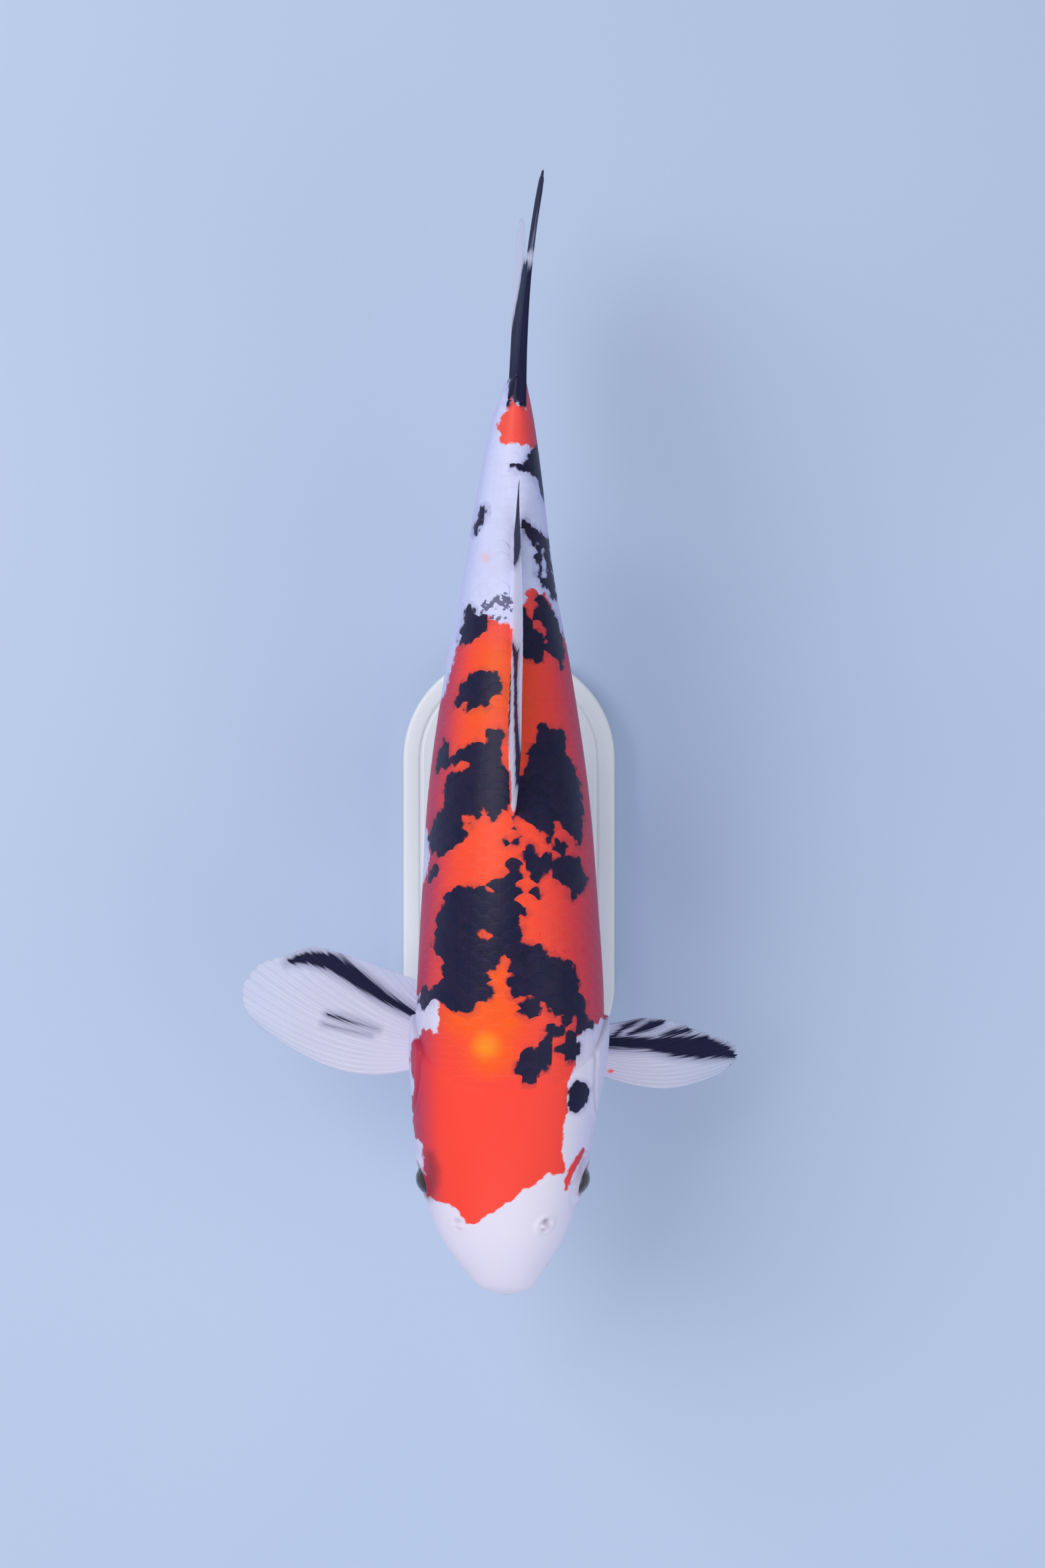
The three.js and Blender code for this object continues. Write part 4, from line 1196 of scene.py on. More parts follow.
class ScaleLattice:
    """Where each scale is rooted. Rows run along the body, and every second row is shifted by half."""

    def __init__(self, sizes):
        self.sizes = sizes
        self.girth = Girth()
        self.lines = [self.girth.arc_along(t) for t in (LATERAL_TURN, -LATERAL_TURN, 0, math.pi)]
        stations = np.arange(SCALES_FROM, FLESH_LENGTH, SEED_STEP)
        self.steps = stations, np.cumsum(SEED_STEP / self.pitch(stations))
        numbers = range(-MOST_ROWS, MOST_ROWS + 1)
        found = [self.row(LEFT_LINE, LEFT * number, number) for number in numbers]
        found += [self.row(RIGHT_LINE, RIGHT * number, number) for number in numbers]
        found += [self.row(BACK_LINE, 0, 0), self.row(BELLY_LINE, 0, 0)]
        seeds = np.concatenate(found)
        self.seeds = seeds[np.argsort(seeds[:, 0], kind="stable")]

    def pitch(self, station):
        """From one scale to the next in a row."""
        return blend(self.sizes.pitch_front, self.sizes.pitch_rear, smooth(station, SHOULDER, TAIL)) / MM

    def spacing(self, station):
        """From one row to the next."""
        return blend(self.sizes.rows_front, self.sizes.rows_rear, smooth(station, SHOULDER, TAIL)) / MM

    def row(self, line, offset, number):
        """Seeds of one row, as [station, row spacings from the line, line]."""
        stations, steps = self.steps
        station = np.interp(np.arange(number % 2 / 2, steps[-1]), steps, stations)
        spacing = self.spacing(station)
        arc = self.lines[line](station) + offset * spacing
        middle = station + self.pitch(station) / 2
        height = body_points(middle, self.girth.turn_at(middle, arc))[..., 2]
        kept = (behind_head(middle, height) > 0.2) & (station < SCALES_TO)
        if line in (LEFT_LINE, RIGHT_LINE):
            to_belly = self.lines[BELLY_LINE](station)
            kept &= (np.abs(arc) > spacing / 2) & (np.abs(arc) < to_belly - spacing / 3)
        else:
            low, high = DORSAL_BASE if line == BACK_LINE else ANAL_BASE
            kept &= (station < low) | (station > high)
        seeds = np.stack([station, offset + 0 * station, line + 0 * station], axis=1)
        return seeds[kept]

    def arc_at(self, station, offset, line):
        """The distance from the back of a place that is offset by row spacings from its line."""
        arcs = [arc(station) for arc in self.lines]
        base = np.select([line == i for i in range(len(arcs))], arcs)
        return base + offset * self.spacing(station)


def scale_template():
    """One scale's corners as [along, across, ring], along from root to free edge, and its faces."""
    angle = np.linspace(-0.5 * math.pi, 1.5 * math.pi, SCALE_CORNERS, endpoint=False)
    angle = angle + 0.35 * np.cos(angle)  # closer together at the free edge
    rings = np.array([*SCALE_RINGS, 1.0])  # the last ring is the underside's rim
    along = rings[:, None] * np.sin(angle)
    across = rings[:, None] * np.cos(angle)
    corners = np.stack([along, across, rings[:, None] + 0 * along], axis=-1).reshape(-1, 3)
    middles = np.zeros((2, 3))
    top, bottom = len(corners), len(corners) + 1
    outer = (len(rings) - 1) * SCALE_CORNERS
    faces = []
    for i in range(SCALE_CORNERS):
        after = (i + 1) % SCALE_CORNERS
        faces.append([top, i, after])
        faces.append([bottom, outer + after, outer + i])
    faces += [face[::-1] for face in grid_faces(len(rings), SCALE_CORNERS, closed=True).tolist()]
    return np.vstack([corners, middles]), faces


def scale_heights(corners, tilt):
    """How far each corner of a scale stands off the bed."""
    along, ring = corners[:, 0], corners[:, 2]
    inwards = 1 - ring**2
    top = tilt * (along + 1) / 2 + SCALE_DOME * inwards - SCALE_THINNING * smooth(ring, 0.88, 1)
    underside = np.zeros(len(corners), bool)
    underside[-2 - SCALE_CORNERS : -2] = True
    underside[-1] = True
    return np.where(underside, top - RIM_THICKNESS - MIDDLE_THICKNESS * inwards, top)


def make_scale_piece(name, seeds, lattice, finish, rng):
    """Many scales joined into one mesh."""
    corners, faces = scale_template()
    along, across, ring = corners.T
    root, offset, line = (seeds[:, i : i + 1] for i in range(3))
    pitch = lattice.pitch(root)
    station = np.minimum(root + along * pitch, LAST_EDGE)
    arc = lattice.arc_at(station, offset + across * SCALE_SPREAD, line)
    turn = lattice.girth.turn_at(station, arc)
    sizes = lattice.sizes
    grow = scale_heights(corners, sizes.tilt / MM) - sizes.bed / MM
    points = body_points(station, turn, grow + 0 * station)
    # A scale mostly has the marking that its middle has, which scallops the markings' edges.
    middle = root + pitch / 2
    middle_turn = lattice.girth.turn_at(middle, lattice.arc_at(middle, offset, line))
    here, there = drawing_place(station, turn), drawing_place(middle, middle_turn)
    drawn = [blend(a, b, SCALE_MARKING) for a, b in zip(here, there)]
    marks = body_markings(*drawn)
    # These two, partly painted highlight and sheen, change softly from corner to corner.
    for tint_and_sheen in ("gold", "warm"):
        marks[tint_and_sheen] = marking_distance(*MARKINGS[tint_and_sheen], *here)
    marks.update(flank_shades(station, turn))
    of_scale = {
        "crease": 0,
        "tone": rng.random((len(seeds), 1)),
        "rim": ring,
        "spoke": np.arctan2(across, along + RIB_CENTRE),
        "ring": np.hypot(along + RIB_CENTRE, across),
    }
    marks.update({name: np.broadcast_to(value, station.shape) for name, value in of_scale.items()})
    patch = unwrap(root, lattice.girth.turn_at(root, lattice.arc_at(root, offset, line)))
    uvs = patch + np.stack([across, along], axis=-1) * OFBAKE_PATCH / 2
    starts = np.arange(len(seeds)) * len(corners)
    all_faces = [[start + i for i in face] for start in starts.tolist() for face in faces]
    order = np.concatenate([np.array(face) for face in faces])
    corner_uvs = uvs[:, order].reshape(-1, 2)
    add_piece(name, points, all_faces, finish, marks, corner_uvs)


def make_scales(sizes, colours):
    """Overlapping scales in joined meshes, from the shoulder to the tail."""
    lattice = ScaleLattice(sizes)
    finish = koi_finish("koi_scales", colours, scaled=True)
    rng = np.random.default_rng(SCALE_SEED)
    count = math.ceil(len(lattice.seeds) * SCALE_TRIANGLES / MOST_TRIANGLES)
    for i, seeds in enumerate(np.array_split(lattice.seeds, count)):
        make_scale_piece(f"scales_{i + 1}", seeds, lattice, finish, rng)


# ---------------------------------------------------------------- fins

FIN_SINK = 4  # the roots of the fins along the middle lie this deep in the flesh
FIN_RIPPLE = 0.3
RAY_THINNING, EDGE_THINNING, MARGIN_THINNING = 0.3, 0.35, 0.4  # what is left of each at its thinnest


def widened(outlines, stretch):
    """The outlines with their sides multiplied."""
    return [[(x * stretch, y) for x, y in outline] for outline in outlines]


class FinMarks:
    """Markings of a fin as seen from above. stretch widens the drawing of a fin that stands on edge."""

    def __init__(self, stretch=1, ink=(), ink_strokes=(), scarlet=()):
        self.stretch = stretch
        self.ink = widened(ink, stretch)
        self.ink_strokes = ink_strokes
        self.scarlet = widened(scarlet, stretch)

    def distances(self, points):
        """The distances to the ink and to the scarlet at [side, station, height] points."""
        side, seen = as_seen(points)
        side = side * self.stretch
        ink = marking_distance(self.ink, self.ink_strokes, side, seen)
        return ink, marking_distance(self.scarlet, [], side, seen)


class Fin:
    """A fan of rays from a root line to a margin line, as in the solids."""

    def __init__(
        self, root, margin, bow, rays, grid, flesh=(0.5, 7), notch=0.012, marks=None, relief=0.7
    ):
        self.root, self.margin, self.bow = root, margin, np.array(bow, float)
        self.rays, self.grid = rays, grid
        self.notch = notch  # how deep the margin is cut between the rays
        self.relief = relief  # how strongly the rays stand out
        self.flesh = flesh  # what the flesh at the root adds to half the thickness, and how it fades
        self.marks = marks or FinMarks()

    def place(self, across, along):
        """Points of the sheet's middle, across from the first ray and along from root to margin."""
        lift = np.sin(math.pi * along) * (1 - across)
        spread = blend(spline(self.root, across), spline(self.margin, across), along[..., None])
        return spread + self.bow * lift[..., None]

    def ridge(self, across, along):
        """1 on a ray and 0 between rays. Each ray forks twice on its way to the margin."""
        off = np.abs((across * self.rays) % 1 - 0.5)
        off = np.abs(off - 0.17 * smooth(along, 0.3, 0.7))
        off = np.abs(off - 0.07 * smooth(along, 0.65, 1))
        return bell(off, blend(0.15, 0.05, along))

    def mirrored(self):
        """The same fin on the fish's other side."""
        flip = np.array([-1, 1, 1])
        root, margin = np.array(self.root) * flip, np.array(self.margin) * flip
        return Fin(root, margin, self.bow * flip, self.rays, self.grid, relief=self.relief)


def ridge_point(station, aside):
    """A point under the back, aside of its ridge towards the fish's left."""
    back, _, _, middle = body_at(np.array(float(station)))
    return (float(middle + back_lean(station)) + aside, station, float(back) - FIN_SINK)


def keel_point(station):
    """A point over the keel of the belly."""
    _, belly, _, middle = body_at(np.array(float(station)))
    return (float(middle - back_lean(station) / 2), station, float(belly) + FIN_SINK)


FORK_ROOT = (3.4, 361, -0.3)
TAIL_MARKS = FinMarks(
    stretch=5,
    ink=[
        [
            (0.1, 356), (1, 370), (2, 380), (2.9, 390), (4.4, 400), (5.9, 410), (7, 415.6),
            (9, 415.6), (8.7, 410), (8.3, 403), (7.9, 395), (7.5, 385), (7, 375), (6.6, 366), (6.4, 356),
        ],
        [
            (7.4, 418.8), (8.3, 425), (9.2, 432), (10.1, 438), (11.5, 445), (13, 453), (16, 453),
            (14.3, 445), (12.8, 438), (11.6, 432), (10.5, 425), (9.6, 418.8),
        ],
    ],
)
PELVIC_FIN = Fin(
    root=[(14, 168, -42), (9.5, 173, -44), (5.5, 177, -45)],
    margin=[(30, 205, -67), (29.5, 214, -68), (23, 218, -64), (13, 209, -55)],
    bow=(2, -2, -1),
    rays=9,
    grid=(120, 60),
)
FINS = {
    "dorsal_fin": Fin(
        root=[
            ridge_point(192, -0.8), ridge_point(228, -1.8),
            ridge_point(264, -0.1), ridge_point(300, 0.2),
        ],
        margin=[
            (5.2, 220, 79), (5.8, 232, 74), (6, 252, 62), (5.6, 278, 50.5), (5, 304, 42),
            (4.8, 325, 35),
        ],
        bow=(0, -3, 2),
        rays=21,
        grid=(260, 60),
        flesh=(0.9, 1.6),
        marks=FinMarks(
            stretch=4,
            ink=[
                [
                    (3.4, 210), (3.3, 220), (3.2, 230), (3.1, 240), (3.1, 250), (2.8, 258), (2.2, 263),
                    (2.9, 263), (3.8, 259.5), (4.7, 260.5), (4.5, 255), (4.3, 248), (4.3, 240),
                    (4.6, 230), (5, 220), (5.2, 212), (4.8, 205), (4.4, 196), (3.3, 196), (3.6, 204),
                ],
                [
                    (-0.4, 206), (0.3, 215), (0.9, 226), (1.4, 236), (1.5, 246), (1.6, 254),
                    (2.1, 254), (2.1, 246), (2, 238), (1.5, 229), (0.9, 218), (0.2, 208),
                ],
                [
                    (3.2, 292), (2.4, 299), (2.5, 305), (3.5, 311), (3.9, 318), (4.2, 328),
                    (5.2, 328), (5.6, 320), (6.8, 313), (6.5, 308), (5.4, 303), (4.8, 297),
                ],
            ],
            scarlet=[[(0.2, 190), (0.4, 203), (0.9, 212), (2, 211), (2.3, 203), (2.3, 190)]],
        ),
        relief=0.3,
    ),
    "anal_fin": Fin(
        root=[keel_point(s) for s in (266, 280, 293)],
        margin=[(-1, 299, -68), (-0.4, 307, -62), (0.2, 312, -52), (0, 314, -40)],
        bow=(0, -3, -2),
        rays=8,
        grid=(110, 60),
    ),
    "tail_fin_upper": Fin(
        root=[(5.5, 352, 18.5), (4.6, 358, 11), FORK_ROOT],
        margin=[
            (13.9, 437, 52.5), (14.2, 443, 47), (12, 439, 37), (9, 424, 21), (7.5, 412, 8),
            (7, 408, -0.3),
        ],
        bow=(-2, 3, 4),
        rays=10,
        grid=(150, 84),
        flesh=(1.6, 1.2),
        marks=TAIL_MARKS,
        relief=0.45,
    ),
    "tail_fin_lower": Fin(
        root=[(1.2, 352, -17.5), (2.2, 358, -11), FORK_ROOT],
        margin=[
            (3.2, 434, -54), (4.8, 441, -49), (6.6, 437, -38), (7.2, 423, -21), (7.1, 411, -8),
            (7, 408, -0.3),
        ],
        bow=(0.3, 3, -4),
        rays=9,
        grid=(150, 84),
        flesh=(1.6, 1.2),
        marks=TAIL_MARKS,
        relief=0.45,
    ),
    "pelvic_fin_left": PELVIC_FIN,
    "pelvic_fin_right": PELVIC_FIN.mirrored(),
    "pectoral_fin_right": Fin(
        root=PECTORAL_ROOTS[RIGHT],
        margin=[
            (-101, 104, -39), (-109, 113, -37), (-110, 122, -35), (-103, 132, -32), (-92, 136, -30),
            (-80, 139.5, -28), (-66, 136, -27), (-52, 131, -27), (-38, 126, -29),
        ],
        bow=(0, -10.5, 3),
        rays=23,
        grid=(270, 80),
        marks=FinMarks(
            ink_strokes=[
                [
                    (-38, 114, 1.4), (-50, 121, 2.5), (-60, 128, 3.3), (-70, 134.5, 3.6),
                    (-80, 136.5, 2.4), (-88, 134.7, 0.6),
                ],
                [(-52, 107.6, -0.2), (-60, 110, 0.5), (-67, 112.3, 0.7), (-72, 113.6, 0.2)],
                [(-55, 105.4, -0.4), (-74, 109.6, -0.3)],
            ],
        ),
    ),
    "pectoral_fin_left": Fin(
        root=PECTORAL_ROOTS[LEFT],
        margin=[
            (92, 85, -67), (96.5, 91, -62), (94, 98, -54), (86, 101.5, -46), (76, 105.5, -38),
            (66, 109, -31), (56, 110.5, -27), (43, 107.5, -26),
        ],
        bow=(2, -8, 1),
        rays=21,
        grid=(240, 80),
        notch=0.04,
        marks=FinMarks(
            ink_strokes=[
                [
                    (40, 102.8, 2.6), (56, 102, 2.6), (67, 101, 4), (78, 100.6, 4.6), (86, 99.4, 2.8),
                    (91, 97.6, 1),
                ],
                [(42, 104.6, 0.9), (46.5, 108.4, 1.2), (51.5, 111, 1.1), (55, 112.2, 0.7)],
                [(48, 105.3, 0.7), (52.5, 107.3, 1.3), (57.5, 109.4, 2), (61.5, 110.3, 1.3)],
                [(61, 104.6, 0.9), (66.5, 106.3, 1.3), (72.5, 107.5, 1.1)],
            ],
            scarlet=[[(39.5, 90.8), (41, 92), (42.8, 91.2), (41.3, 90)]],
        ),
    ),
}


def two_sided_faces(columns, rows):
    """The faces of a sheet's two grids of points, and of the hem that joins their borders."""
    sheet = grid_faces(columns, rows)
    count = columns * rows
    border = np.concatenate([
        np.arange(rows),
        np.arange(1, columns) * rows + rows - 1,
        (columns - 1) * rows + np.arange(rows - 2, -1, -1),
        np.arange(columns - 2, 0, -1) * rows,
    ])
    after = np.roll(border, -1)
    hem = np.stack([border, after, after + count, border + count], axis=-1)
    return np.concatenate([sheet[:, ::-1], sheet + count, hem]).tolist()


def fin_mesh(fin, sizes):
    """A closed sheet with rays standing out of both faces: its points, faces and marks."""
    columns, rows = fin.grid
    share, climb = np.meshgrid(np.linspace(0, 1, columns), np.linspace(0, 1, rows), indexing="ij")
    tips = fin.ridge(share, np.ones_like(share))
    fray = 0.5 + 0.5 * np.sin(share * 91 + 2 * np.sin(share * 37))
    along = climb * (1 - fin.notch * ((1 - tips) * 0.6 + fray * 0.4))
    points = fin.place(share, along)
    normal = unit(np.cross(np.gradient(points, axis=0), np.gradient(points, axis=1)))
    ridge = fin.ridge(share, along) * fin.relief
    edge = smooth(share, 0, 0.02) * smooth(1 - share, 0, 0.015)
    half = sizes.web / MM + sizes.ray / MM * ridge * blend(1, RAY_THINNING, along)
    flesh, fading = fin.flesh
    half = half + flesh * (1 - along) ** fading + 0.35 * bell(share, 0.03) * (1 - along)
    half = half * blend(EDGE_THINNING, 1, edge)
    half = half * blend(1, MARGIN_THINNING, smooth(climb, 0.94, 1))
    ripple = FIN_RIPPLE * np.sin(9 * share + 2.5 * along) * along * edge
    face = points + normal * (ripple + half)[..., None]
    back = points + normal * (ripple - half)[..., None]
    ink, scarlet = fin.marks.distances(points)
    marks = {"ink": ink, "scarlet": scarlet, "ray": ridge, "along": along, "across": share}
    marks = {key: np.concatenate([value.ravel()] * 2) for key, value in marks.items()}
    both = np.concatenate([face.reshape(-1, 3), back.reshape(-1, 3)])
    return both, two_sided_faces(columns, rows), marks


def make_fins(sizes, colours):
    """Rayed fins in place of the solids' plain ones."""
    finish = fin_finish(colours)
    for name, fin in FINS.items():
        points, faces, marks = fin_mesh(fin, sizes)
        piece = add_piece(f"{name}_rays", points, faces, finish, marks)
        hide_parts(name)


# ---------------------------------------------------------------- eyes

EYE_RADIUS = 7.9
EYE_UP, EYE_FORWARD = math.radians(15), math.radians(6)  # where the eyes look
CORNEA_RISE = 0.45
EYE_ROWS, EYE_COLUMNS = 72, 96


def make_eye(side, finish):
    """An eyeball with a slightly domed cornea, looking sideways and a little up and forward."""
    axis = np.array([
        side * math.cos(EYE_UP) * math.cos(EYE_FORWARD),
        -math.sin(EYE_FORWARD) * math.cos(EYE_UP),
        math.sin(EYE_UP),
    ])
    over = unit(np.cross(np.cross(axis, [0, 0, 1]), axis))
    beside = np.cross(axis, over)
    polars = np.linspace(0.01, 0.9 * math.pi, EYE_ROWS)
    polar, around = np.meshgrid(polars, full_circle(EYE_COLUMNS), indexing="ij")
    radius = EYE_RADIUS + CORNEA_RISE * bell(polar, 0.62)
    ring = np.cos(around)[..., None] * over + np.sin(around)[..., None] * beside
    outward = np.cos(polar)[..., None] * axis + np.sin(polar)[..., None] * ring
    points = EYES[side] - ORIGIN + outward * radius[..., None]
    faces = capped_faces(EYE_ROWS, EYE_COLUMNS)
    marks = {
        "polar": polar / (math.pi / 2),
        "around": np.abs(around - math.pi),
        "upper": np.cos(around),
    }
    name = "eye_left" if side == LEFT else "eye_right"
    piece = add_piece(f"{name}_ball", points, faces, finish, marks)
    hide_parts(name)


def make_eyes(colours):
    """Both eyes, set in their sockets."""
    finish = eye_finish(colours)
    for side in (LEFT, RIGHT):
        make_eye(side, finish)


# ---------------------------------------------------------------- barbels

# Each barbel's path out of the head, and its radius at the root.
BARBELS = {
    "corner": ([(14, 16, -15), (19.5, 18.5, -19.5), (22, 23.5, -24.5), (21, 29, -28)], 1.05),
    "lip": ([(12, 10.5, -7), (16.5, 11.6, -9.5), (18.5, 15, -13)], 0.8),
}
BARBEL_STEPS, BARBEL_SIDES = 60, 24
MOUTH_STATION = 12


def make_barbel(name, path, radius, finish):
    """A soft tapering feeler with a rounded tip."""
    share = np.linspace(0, 0.985, BARBEL_STEPS)
    line = spline(path, share)
    ahead = unit(np.gradient(line, axis=0))
    first = unit(np.cross(ahead, [0, 0, 1]))
    second = np.cross(ahead, first)
    thickness = radius * (1 - 0.6 * share**2) * np.sqrt(1 - smooth(share, 0.93, 0.99) * 0.96)
    thickness = thickness * (1 + 0.03 * np.sin(share * 60))
    angle = full_circle(BARBEL_SIDES)[None, :, None]
    ring = np.cos(angle) * first[:, None] + np.sin(angle) * second[:, None]
    points = line[:, None] + ring * thickness[:, None, None]
    faces = [face[::-1] for face in capped_faces(BARBEL_STEPS, BARBEL_SIDES)]
    marks = {"along": np.repeat(share, BARBEL_SIDES)}
    piece = add_piece(f"{name}_feeler", points, faces, finish, marks)
    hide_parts(name)


def make_barbels(colours):
    """Two feelers on each side of the mouth."""
    finish = barbel_finish(colours)
    middle = float(body_at(np.array(float(MOUTH_STATION)))[3])
    for kind, (path, radius) in BARBELS.items():
        for side_name, side in (("left", LEFT), ("right", RIGHT)):
            placed = [(middle + side * x, station, height) for x, station, height in path]
            make_barbel(f"barbel_{kind}_{side_name}", placed, radius, finish)


# ---------------------------------------------------------------- stand

BASE_EDGE = 1.5
BASE_CORNERS, ROD_SIDES, ROD_STEPS = 160, 72, 12
GROOVE_INSET, GROOVE_WIDTH, GROOVE_DEPTH = 7, 1.0, 0.5
GROOVE_SLOPE = 0.15
BASE_CAP = 0.01  # the slab's top and underside close in to a strip this narrow
ROD_HOLE = 0.05  # the ends of a rod shrink to a circle this small
ROD_SLIMMING = 0.995  # keeps a rod inside its solid
ROD_ENTRY = 0.8  # a rod goes this much further into the belly than its solid
COLLAR_RADIUS, COLLAR_HEIGHT, COLLAR_EDGE = 6.4, 3, 0.5


def in_millimetres(box):
    """The low and the high corner of a solid's box, which has them in metres."""
    return [np.array(corner) / MM for corner in box]


def turned(centre, profile, angle, shift=0.0):
    """Rows of points round an upright axis, one for each [radius, height] of the profile."""
    rows = [
        np.stack([
            centre[0] + radius * np.cos(angle),
            centre[1] + shift + radius * np.sin(angle),
            height + 0 * angle,
        ], axis=-1)
        for radius, height in profile
    ]
    return np.array(rows) - ORIGIN


def base_profile(half_width, thickness):
    """The base's cross-section as [inset from the outline, height, how much of an edge it is]."""
    turns = np.linspace(0, math.pi / 2, 9)
    innermost = half_width - BASE_CAP
    profile = [(innermost, 0, 0), (half_width / 2, 0, 0), (BASE_EDGE + 1, 0, 0)]
    profile += [(BASE_EDGE * (1 - math.sin(t)), BASE_EDGE * (1 - math.cos(t)), 1) for t in turns]
    profile += [(0, thickness * share, 0) for share in (0.3, 0.5, 0.7)]
    high = thickness - BASE_EDGE
    profile += [(BASE_EDGE * (1 - math.cos(t)), high + BASE_EDGE * math.sin(t), 1) for t in turns]
    profile += [(GROOVE_INSET - 1, thickness, 0), (GROOVE_INSET, thickness, 1)]
    bottom, groove_end = thickness - GROOVE_DEPTH, GROOVE_INSET + GROOVE_WIDTH
    profile += [(GROOVE_INSET + GROOVE_SLOPE, bottom, 0), (groove_end - GROOVE_SLOPE, bottom, 0)]
    profile += [(groove_end, thickness, 1), (groove_end + 1, thickness, 0)]
    profile += [(half_width / 2, thickness, 0), (innermost, thickness, 0)]
    return profile


def make_base(finish):
    """A slab with half-round ends, a softly rounded edge and a fine groove round the top."""
    low, high = in_millimetres(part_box("stand_base"))
    half_width = (high[0] - low[0]) / 2
    straight = (high[1] - low[1]) / 2 - half_width
    angle = full_circle(BASE_CORNERS)
    shift = np.where(np.sin(angle) >= 0, straight, -straight)
    profile = base_profile(half_width, high[2] - low[2])
    outline = [(half_width - inset, low[2] + height) for inset, height, _ in profile]
    points = turned((low + high) / 2, outline, angle, shift)
    faces = capped_faces(len(profile), BASE_CORNERS)
    marks = {"edge": np.repeat([edge for _, _, edge in profile], BASE_CORNERS)}
    piece = add_piece("base_slab", points, faces, finish, marks)
    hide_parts("stand_base")


def make_rod(node, finish):
    """A turned rod with a collar at its foot. Its top goes into the belly."""
    low, high = in_millimetres(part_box(node))
    radius = (high[0] - low[0]) / 2 * ROD_SLIMMING
    foot, top = low[2], high[2] + ROD_ENTRY
    collar_top = foot + COLLAR_HEIGHT
    profile = [(ROD_HOLE, foot), (COLLAR_RADIUS, foot), (COLLAR_RADIUS, collar_top - COLLAR_EDGE)]
    profile += [(COLLAR_RADIUS - 0.15, collar_top - 0.15), (COLLAR_RADIUS - COLLAR_EDGE, collar_top)]
    profile += [(radius + 0.3, collar_top), (radius, collar_top + 0.3)]
    profile += [(radius, height) for height in np.linspace(collar_top + 1, top, ROD_STEPS)]
    profile += [(ROD_HOLE, top)]
    points = turned((low + high) / 2, profile, full_circle(ROD_SIDES))
    faces = grid_faces(len(profile), ROD_SIDES, closed=True)
    piece = add_piece(f"{node}_turned", points, faces.tolist(), finish)
    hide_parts(node)


def make_stand(colours):
    """The base and the two rods that hold the fish."""
    make_base(lacquer_finish(colours))
    finish = steel_finish(colours)
    for node in ("stand_rod_front", "stand_rod_rear"):
        make_rod(node, finish)


# ---------------------------------------------------------------- studio
# Lengths here are metres.

# Each lamp: name, place, size, power and colour.
LAMPS = [
    ("key", (-0.8, 0.45, 1.35), 1.1, 13, (1, 0.985, 0.97)),
    ("fill", (1.0, -0.5, 1.1), 1.2, 4.5, (0.88, 0.93, 1)),
    ("front", (-0.1, -1.3, 0.9), 0.9, 4, (0.96, 0.98, 1)),
]
LAMP_AIM = (0, 0.02, 0.1)
ROOM_COLOUR, ROOM_STRENGTH = (0.86, 0.92, 1, 1), 0.5
FLOOR_REACH = 4
SENSOR_WIDTH = 36  # the camera's own millimetres


def add_lamp(name, place, size, power, colour):
    """A soft square lamp aimed at the fish."""
    light = bpy.data.lights.new(name, "AREA")
    light.size, light.energy, light.color = size, power, colour
    lamp = bpy.data.objects.new(name, light)
    bpy.context.scene.collection.objects.link(lamp)
    lamp.location = place
    direction = Vector(LAMP_AIM) - Vector(place)
    lamp.rotation_euler = direction.to_track_quat("-Z", "Y").to_euler()


def add_floor(finish):
    """A level square under the stand."""
    mesh = bpy.data.meshes.new("floor")
    low, high = -FLOOR_REACH, FLOOR_REACH
    corners = [(low, low, 0), (high, low, 0), (high, high, 0), (low, high, 0)]
    mesh.from_pydata(corners, [], [(0, 1, 2, 3)])
    mesh.materials.append(finish)
    floor = bpy.data.objects.new("floor", mesh)
    bpy.context.scene.collection.objects.link(floor)


def add_camera(sizes):
    """Looks straight down on the fish."""
    camera = bpy.data.cameras.new("camera")
    camera.sensor_width = SENSOR_WIDTH
    camera.lens = camera.sensor_width * sizes.view_height / sizes.frame_length
    holder = bpy.data.objects.new("camera", camera)
    bpy.context.scene.collection.objects.link(holder)
    station_y = VIEW_STATION + SNOUT_Y
    holder.location = (VIEW_SIDE * MM, station_y * MM, AXIS_Z * MM + sizes.view_height)
    bpy.context.scene.camera = holder


def make_studio(sizes, colours):
    """The floor, the camera and soft lamps."""
    add_floor(floor_finish(colours))
    add_camera(sizes)
    for lamp in LAMPS:
        add_lamp(*lamp)
    world = bpy.data.worlds.new("studio")
    bpy.context.scene.world = world
    world.use_nodes = True
    background = world.node_tree.nodes["Background"]
    background.inputs["Color"].default_value = ROOM_COLOUR
    background.inputs["Strength"].default_value = ROOM_STRENGTH
    bpy.context.scene.view_settings.view_transform = "Standard"


# ---------------------------------------------------------------- the add-on


class KOI_OT_skin(bpy.types.Operator):
    """Makes the seamless skin of the head, trunk and tail stalk"""

    bl_idname = "koi.skin"
    bl_label = "Skin"

    def execute(self, context):
        make_skin(context.scene.koi_sizes, context.scene.koi_colours)
        return {"FINISHED"}


class KOI_OT_scales(bpy.types.Operator):
    """Makes the overlapping scales"""

    bl_idname = "koi.scales"
    bl_label = "Scales"

    def execute(self, context):
        make_scales(context.scene.koi_sizes, context.scene.koi_colours)
        return {"FINISHED"}


class KOI_OT_fins(bpy.types.Operator):
    """Makes the rayed fins"""

    bl_idname = "koi.fins"
    bl_label = "Fins"

    def execute(self, context):
        make_fins(context.scene.koi_sizes, context.scene.koi_colours)
        return {"FINISHED"}


class KOI_OT_eyes(bpy.types.Operator):
    """Makes both eyes"""

    bl_idname = "koi.eyes"
    bl_label = "Eyes"

    def execute(self, context):
        make_eyes(context.scene.koi_colours)
        return {"FINISHED"}


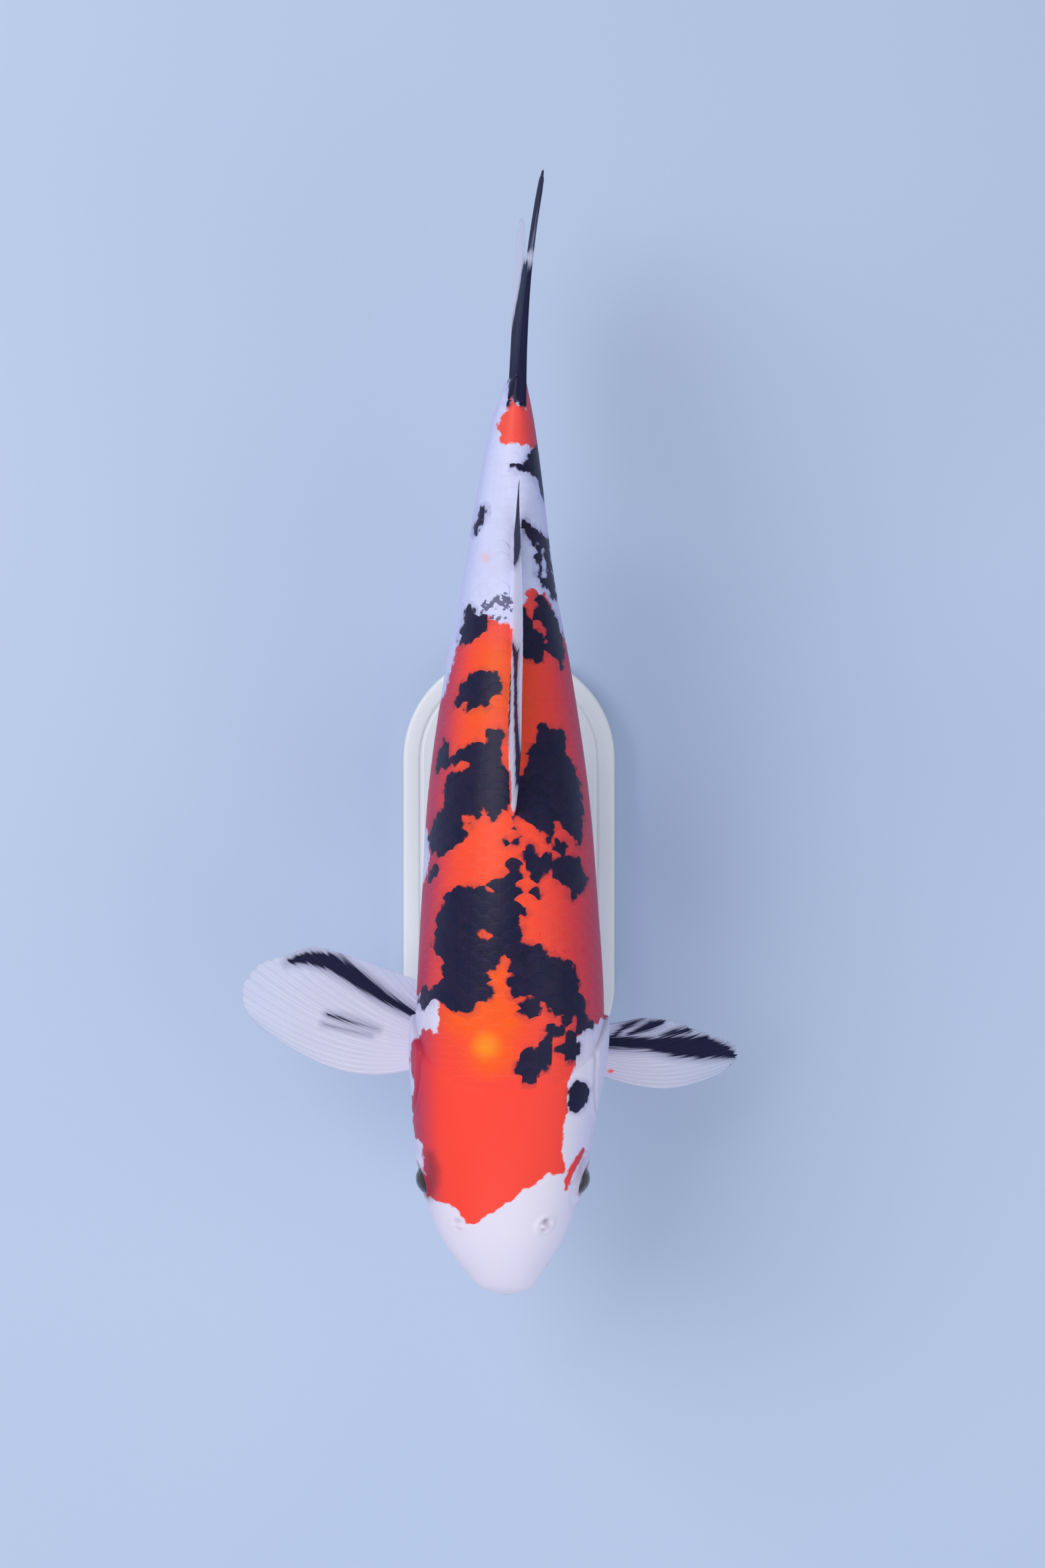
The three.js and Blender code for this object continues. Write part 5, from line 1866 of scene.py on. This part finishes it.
class KOI_OT_barbels(bpy.types.Operator):
    """Makes the four barbels at the mouth"""

    bl_idname = "koi.barbels"
    bl_label = "Barbels"

    def execute(self, context):
        make_barbels(context.scene.koi_colours)
        return {"FINISHED"}


class KOI_OT_stand(bpy.types.Operator):
    """Makes the display stand's base and rods"""

    bl_idname = "koi.stand"
    bl_label = "Stand"

    def execute(self, context):
        make_stand(context.scene.koi_colours)
        return {"FINISHED"}


class KOI_OT_studio(bpy.types.Operator):
    """Makes the floor, the camera and the lamps"""

    bl_idname = "koi.studio"
    bl_label = "Studio"

    def execute(self, context):
        make_studio(context.scene.koi_sizes, context.scene.koi_colours)
        return {"FINISHED"}


OPERATORS = [
    KOI_OT_skin,
    KOI_OT_scales,
    KOI_OT_fins,
    KOI_OT_eyes,
    KOI_OT_barbels,
    KOI_OT_stand,
    KOI_OT_studio,
]


class KOI_PT_panel(bpy.types.Panel):
    """Lists the model's pieces, sizes and colours"""

    bl_idname = "KOI_PT_panel"
    bl_label = "Koi carp"
    bl_space_type = "VIEW_3D"
    bl_region_type = "UI"
    bl_category = "Koi"

    def draw(self, context):
        for operator in OPERATORS:
            self.layout.operator(operator.bl_idname)
        for group in (context.scene.koi_sizes, context.scene.koi_colours):
            box = self.layout.box()
            for key in group.bl_rna.properties.keys():
                if key not in {"rna_type", "name"}:
                    box.prop(group, key)


CLASSES = [KoiSizes, KoiColours, *OPERATORS, KOI_PT_panel]


def register():
    for cls in CLASSES:
        bpy.utils.register_class(cls)
    bpy.types.Scene.koi_sizes = bpy.props.PointerProperty(type=KoiSizes)
    bpy.types.Scene.koi_colours = bpy.props.PointerProperty(type=KoiColours)


def unregister():
    del bpy.types.Scene.koi_colours
    del bpy.types.Scene.koi_sizes
    for cls in reversed(CLASSES):
        bpy.utils.unregister_class(cls)


def main():
    register()
    bpy.ops.koi.studio()
    bpy.ops.koi.skin()
    bpy.ops.koi.scales()
    bpy.ops.koi.fins()
    bpy.ops.koi.eyes()
    bpy.ops.koi.barbels()
    bpy.ops.koi.stand()


if __name__ == "__main__":
    main()
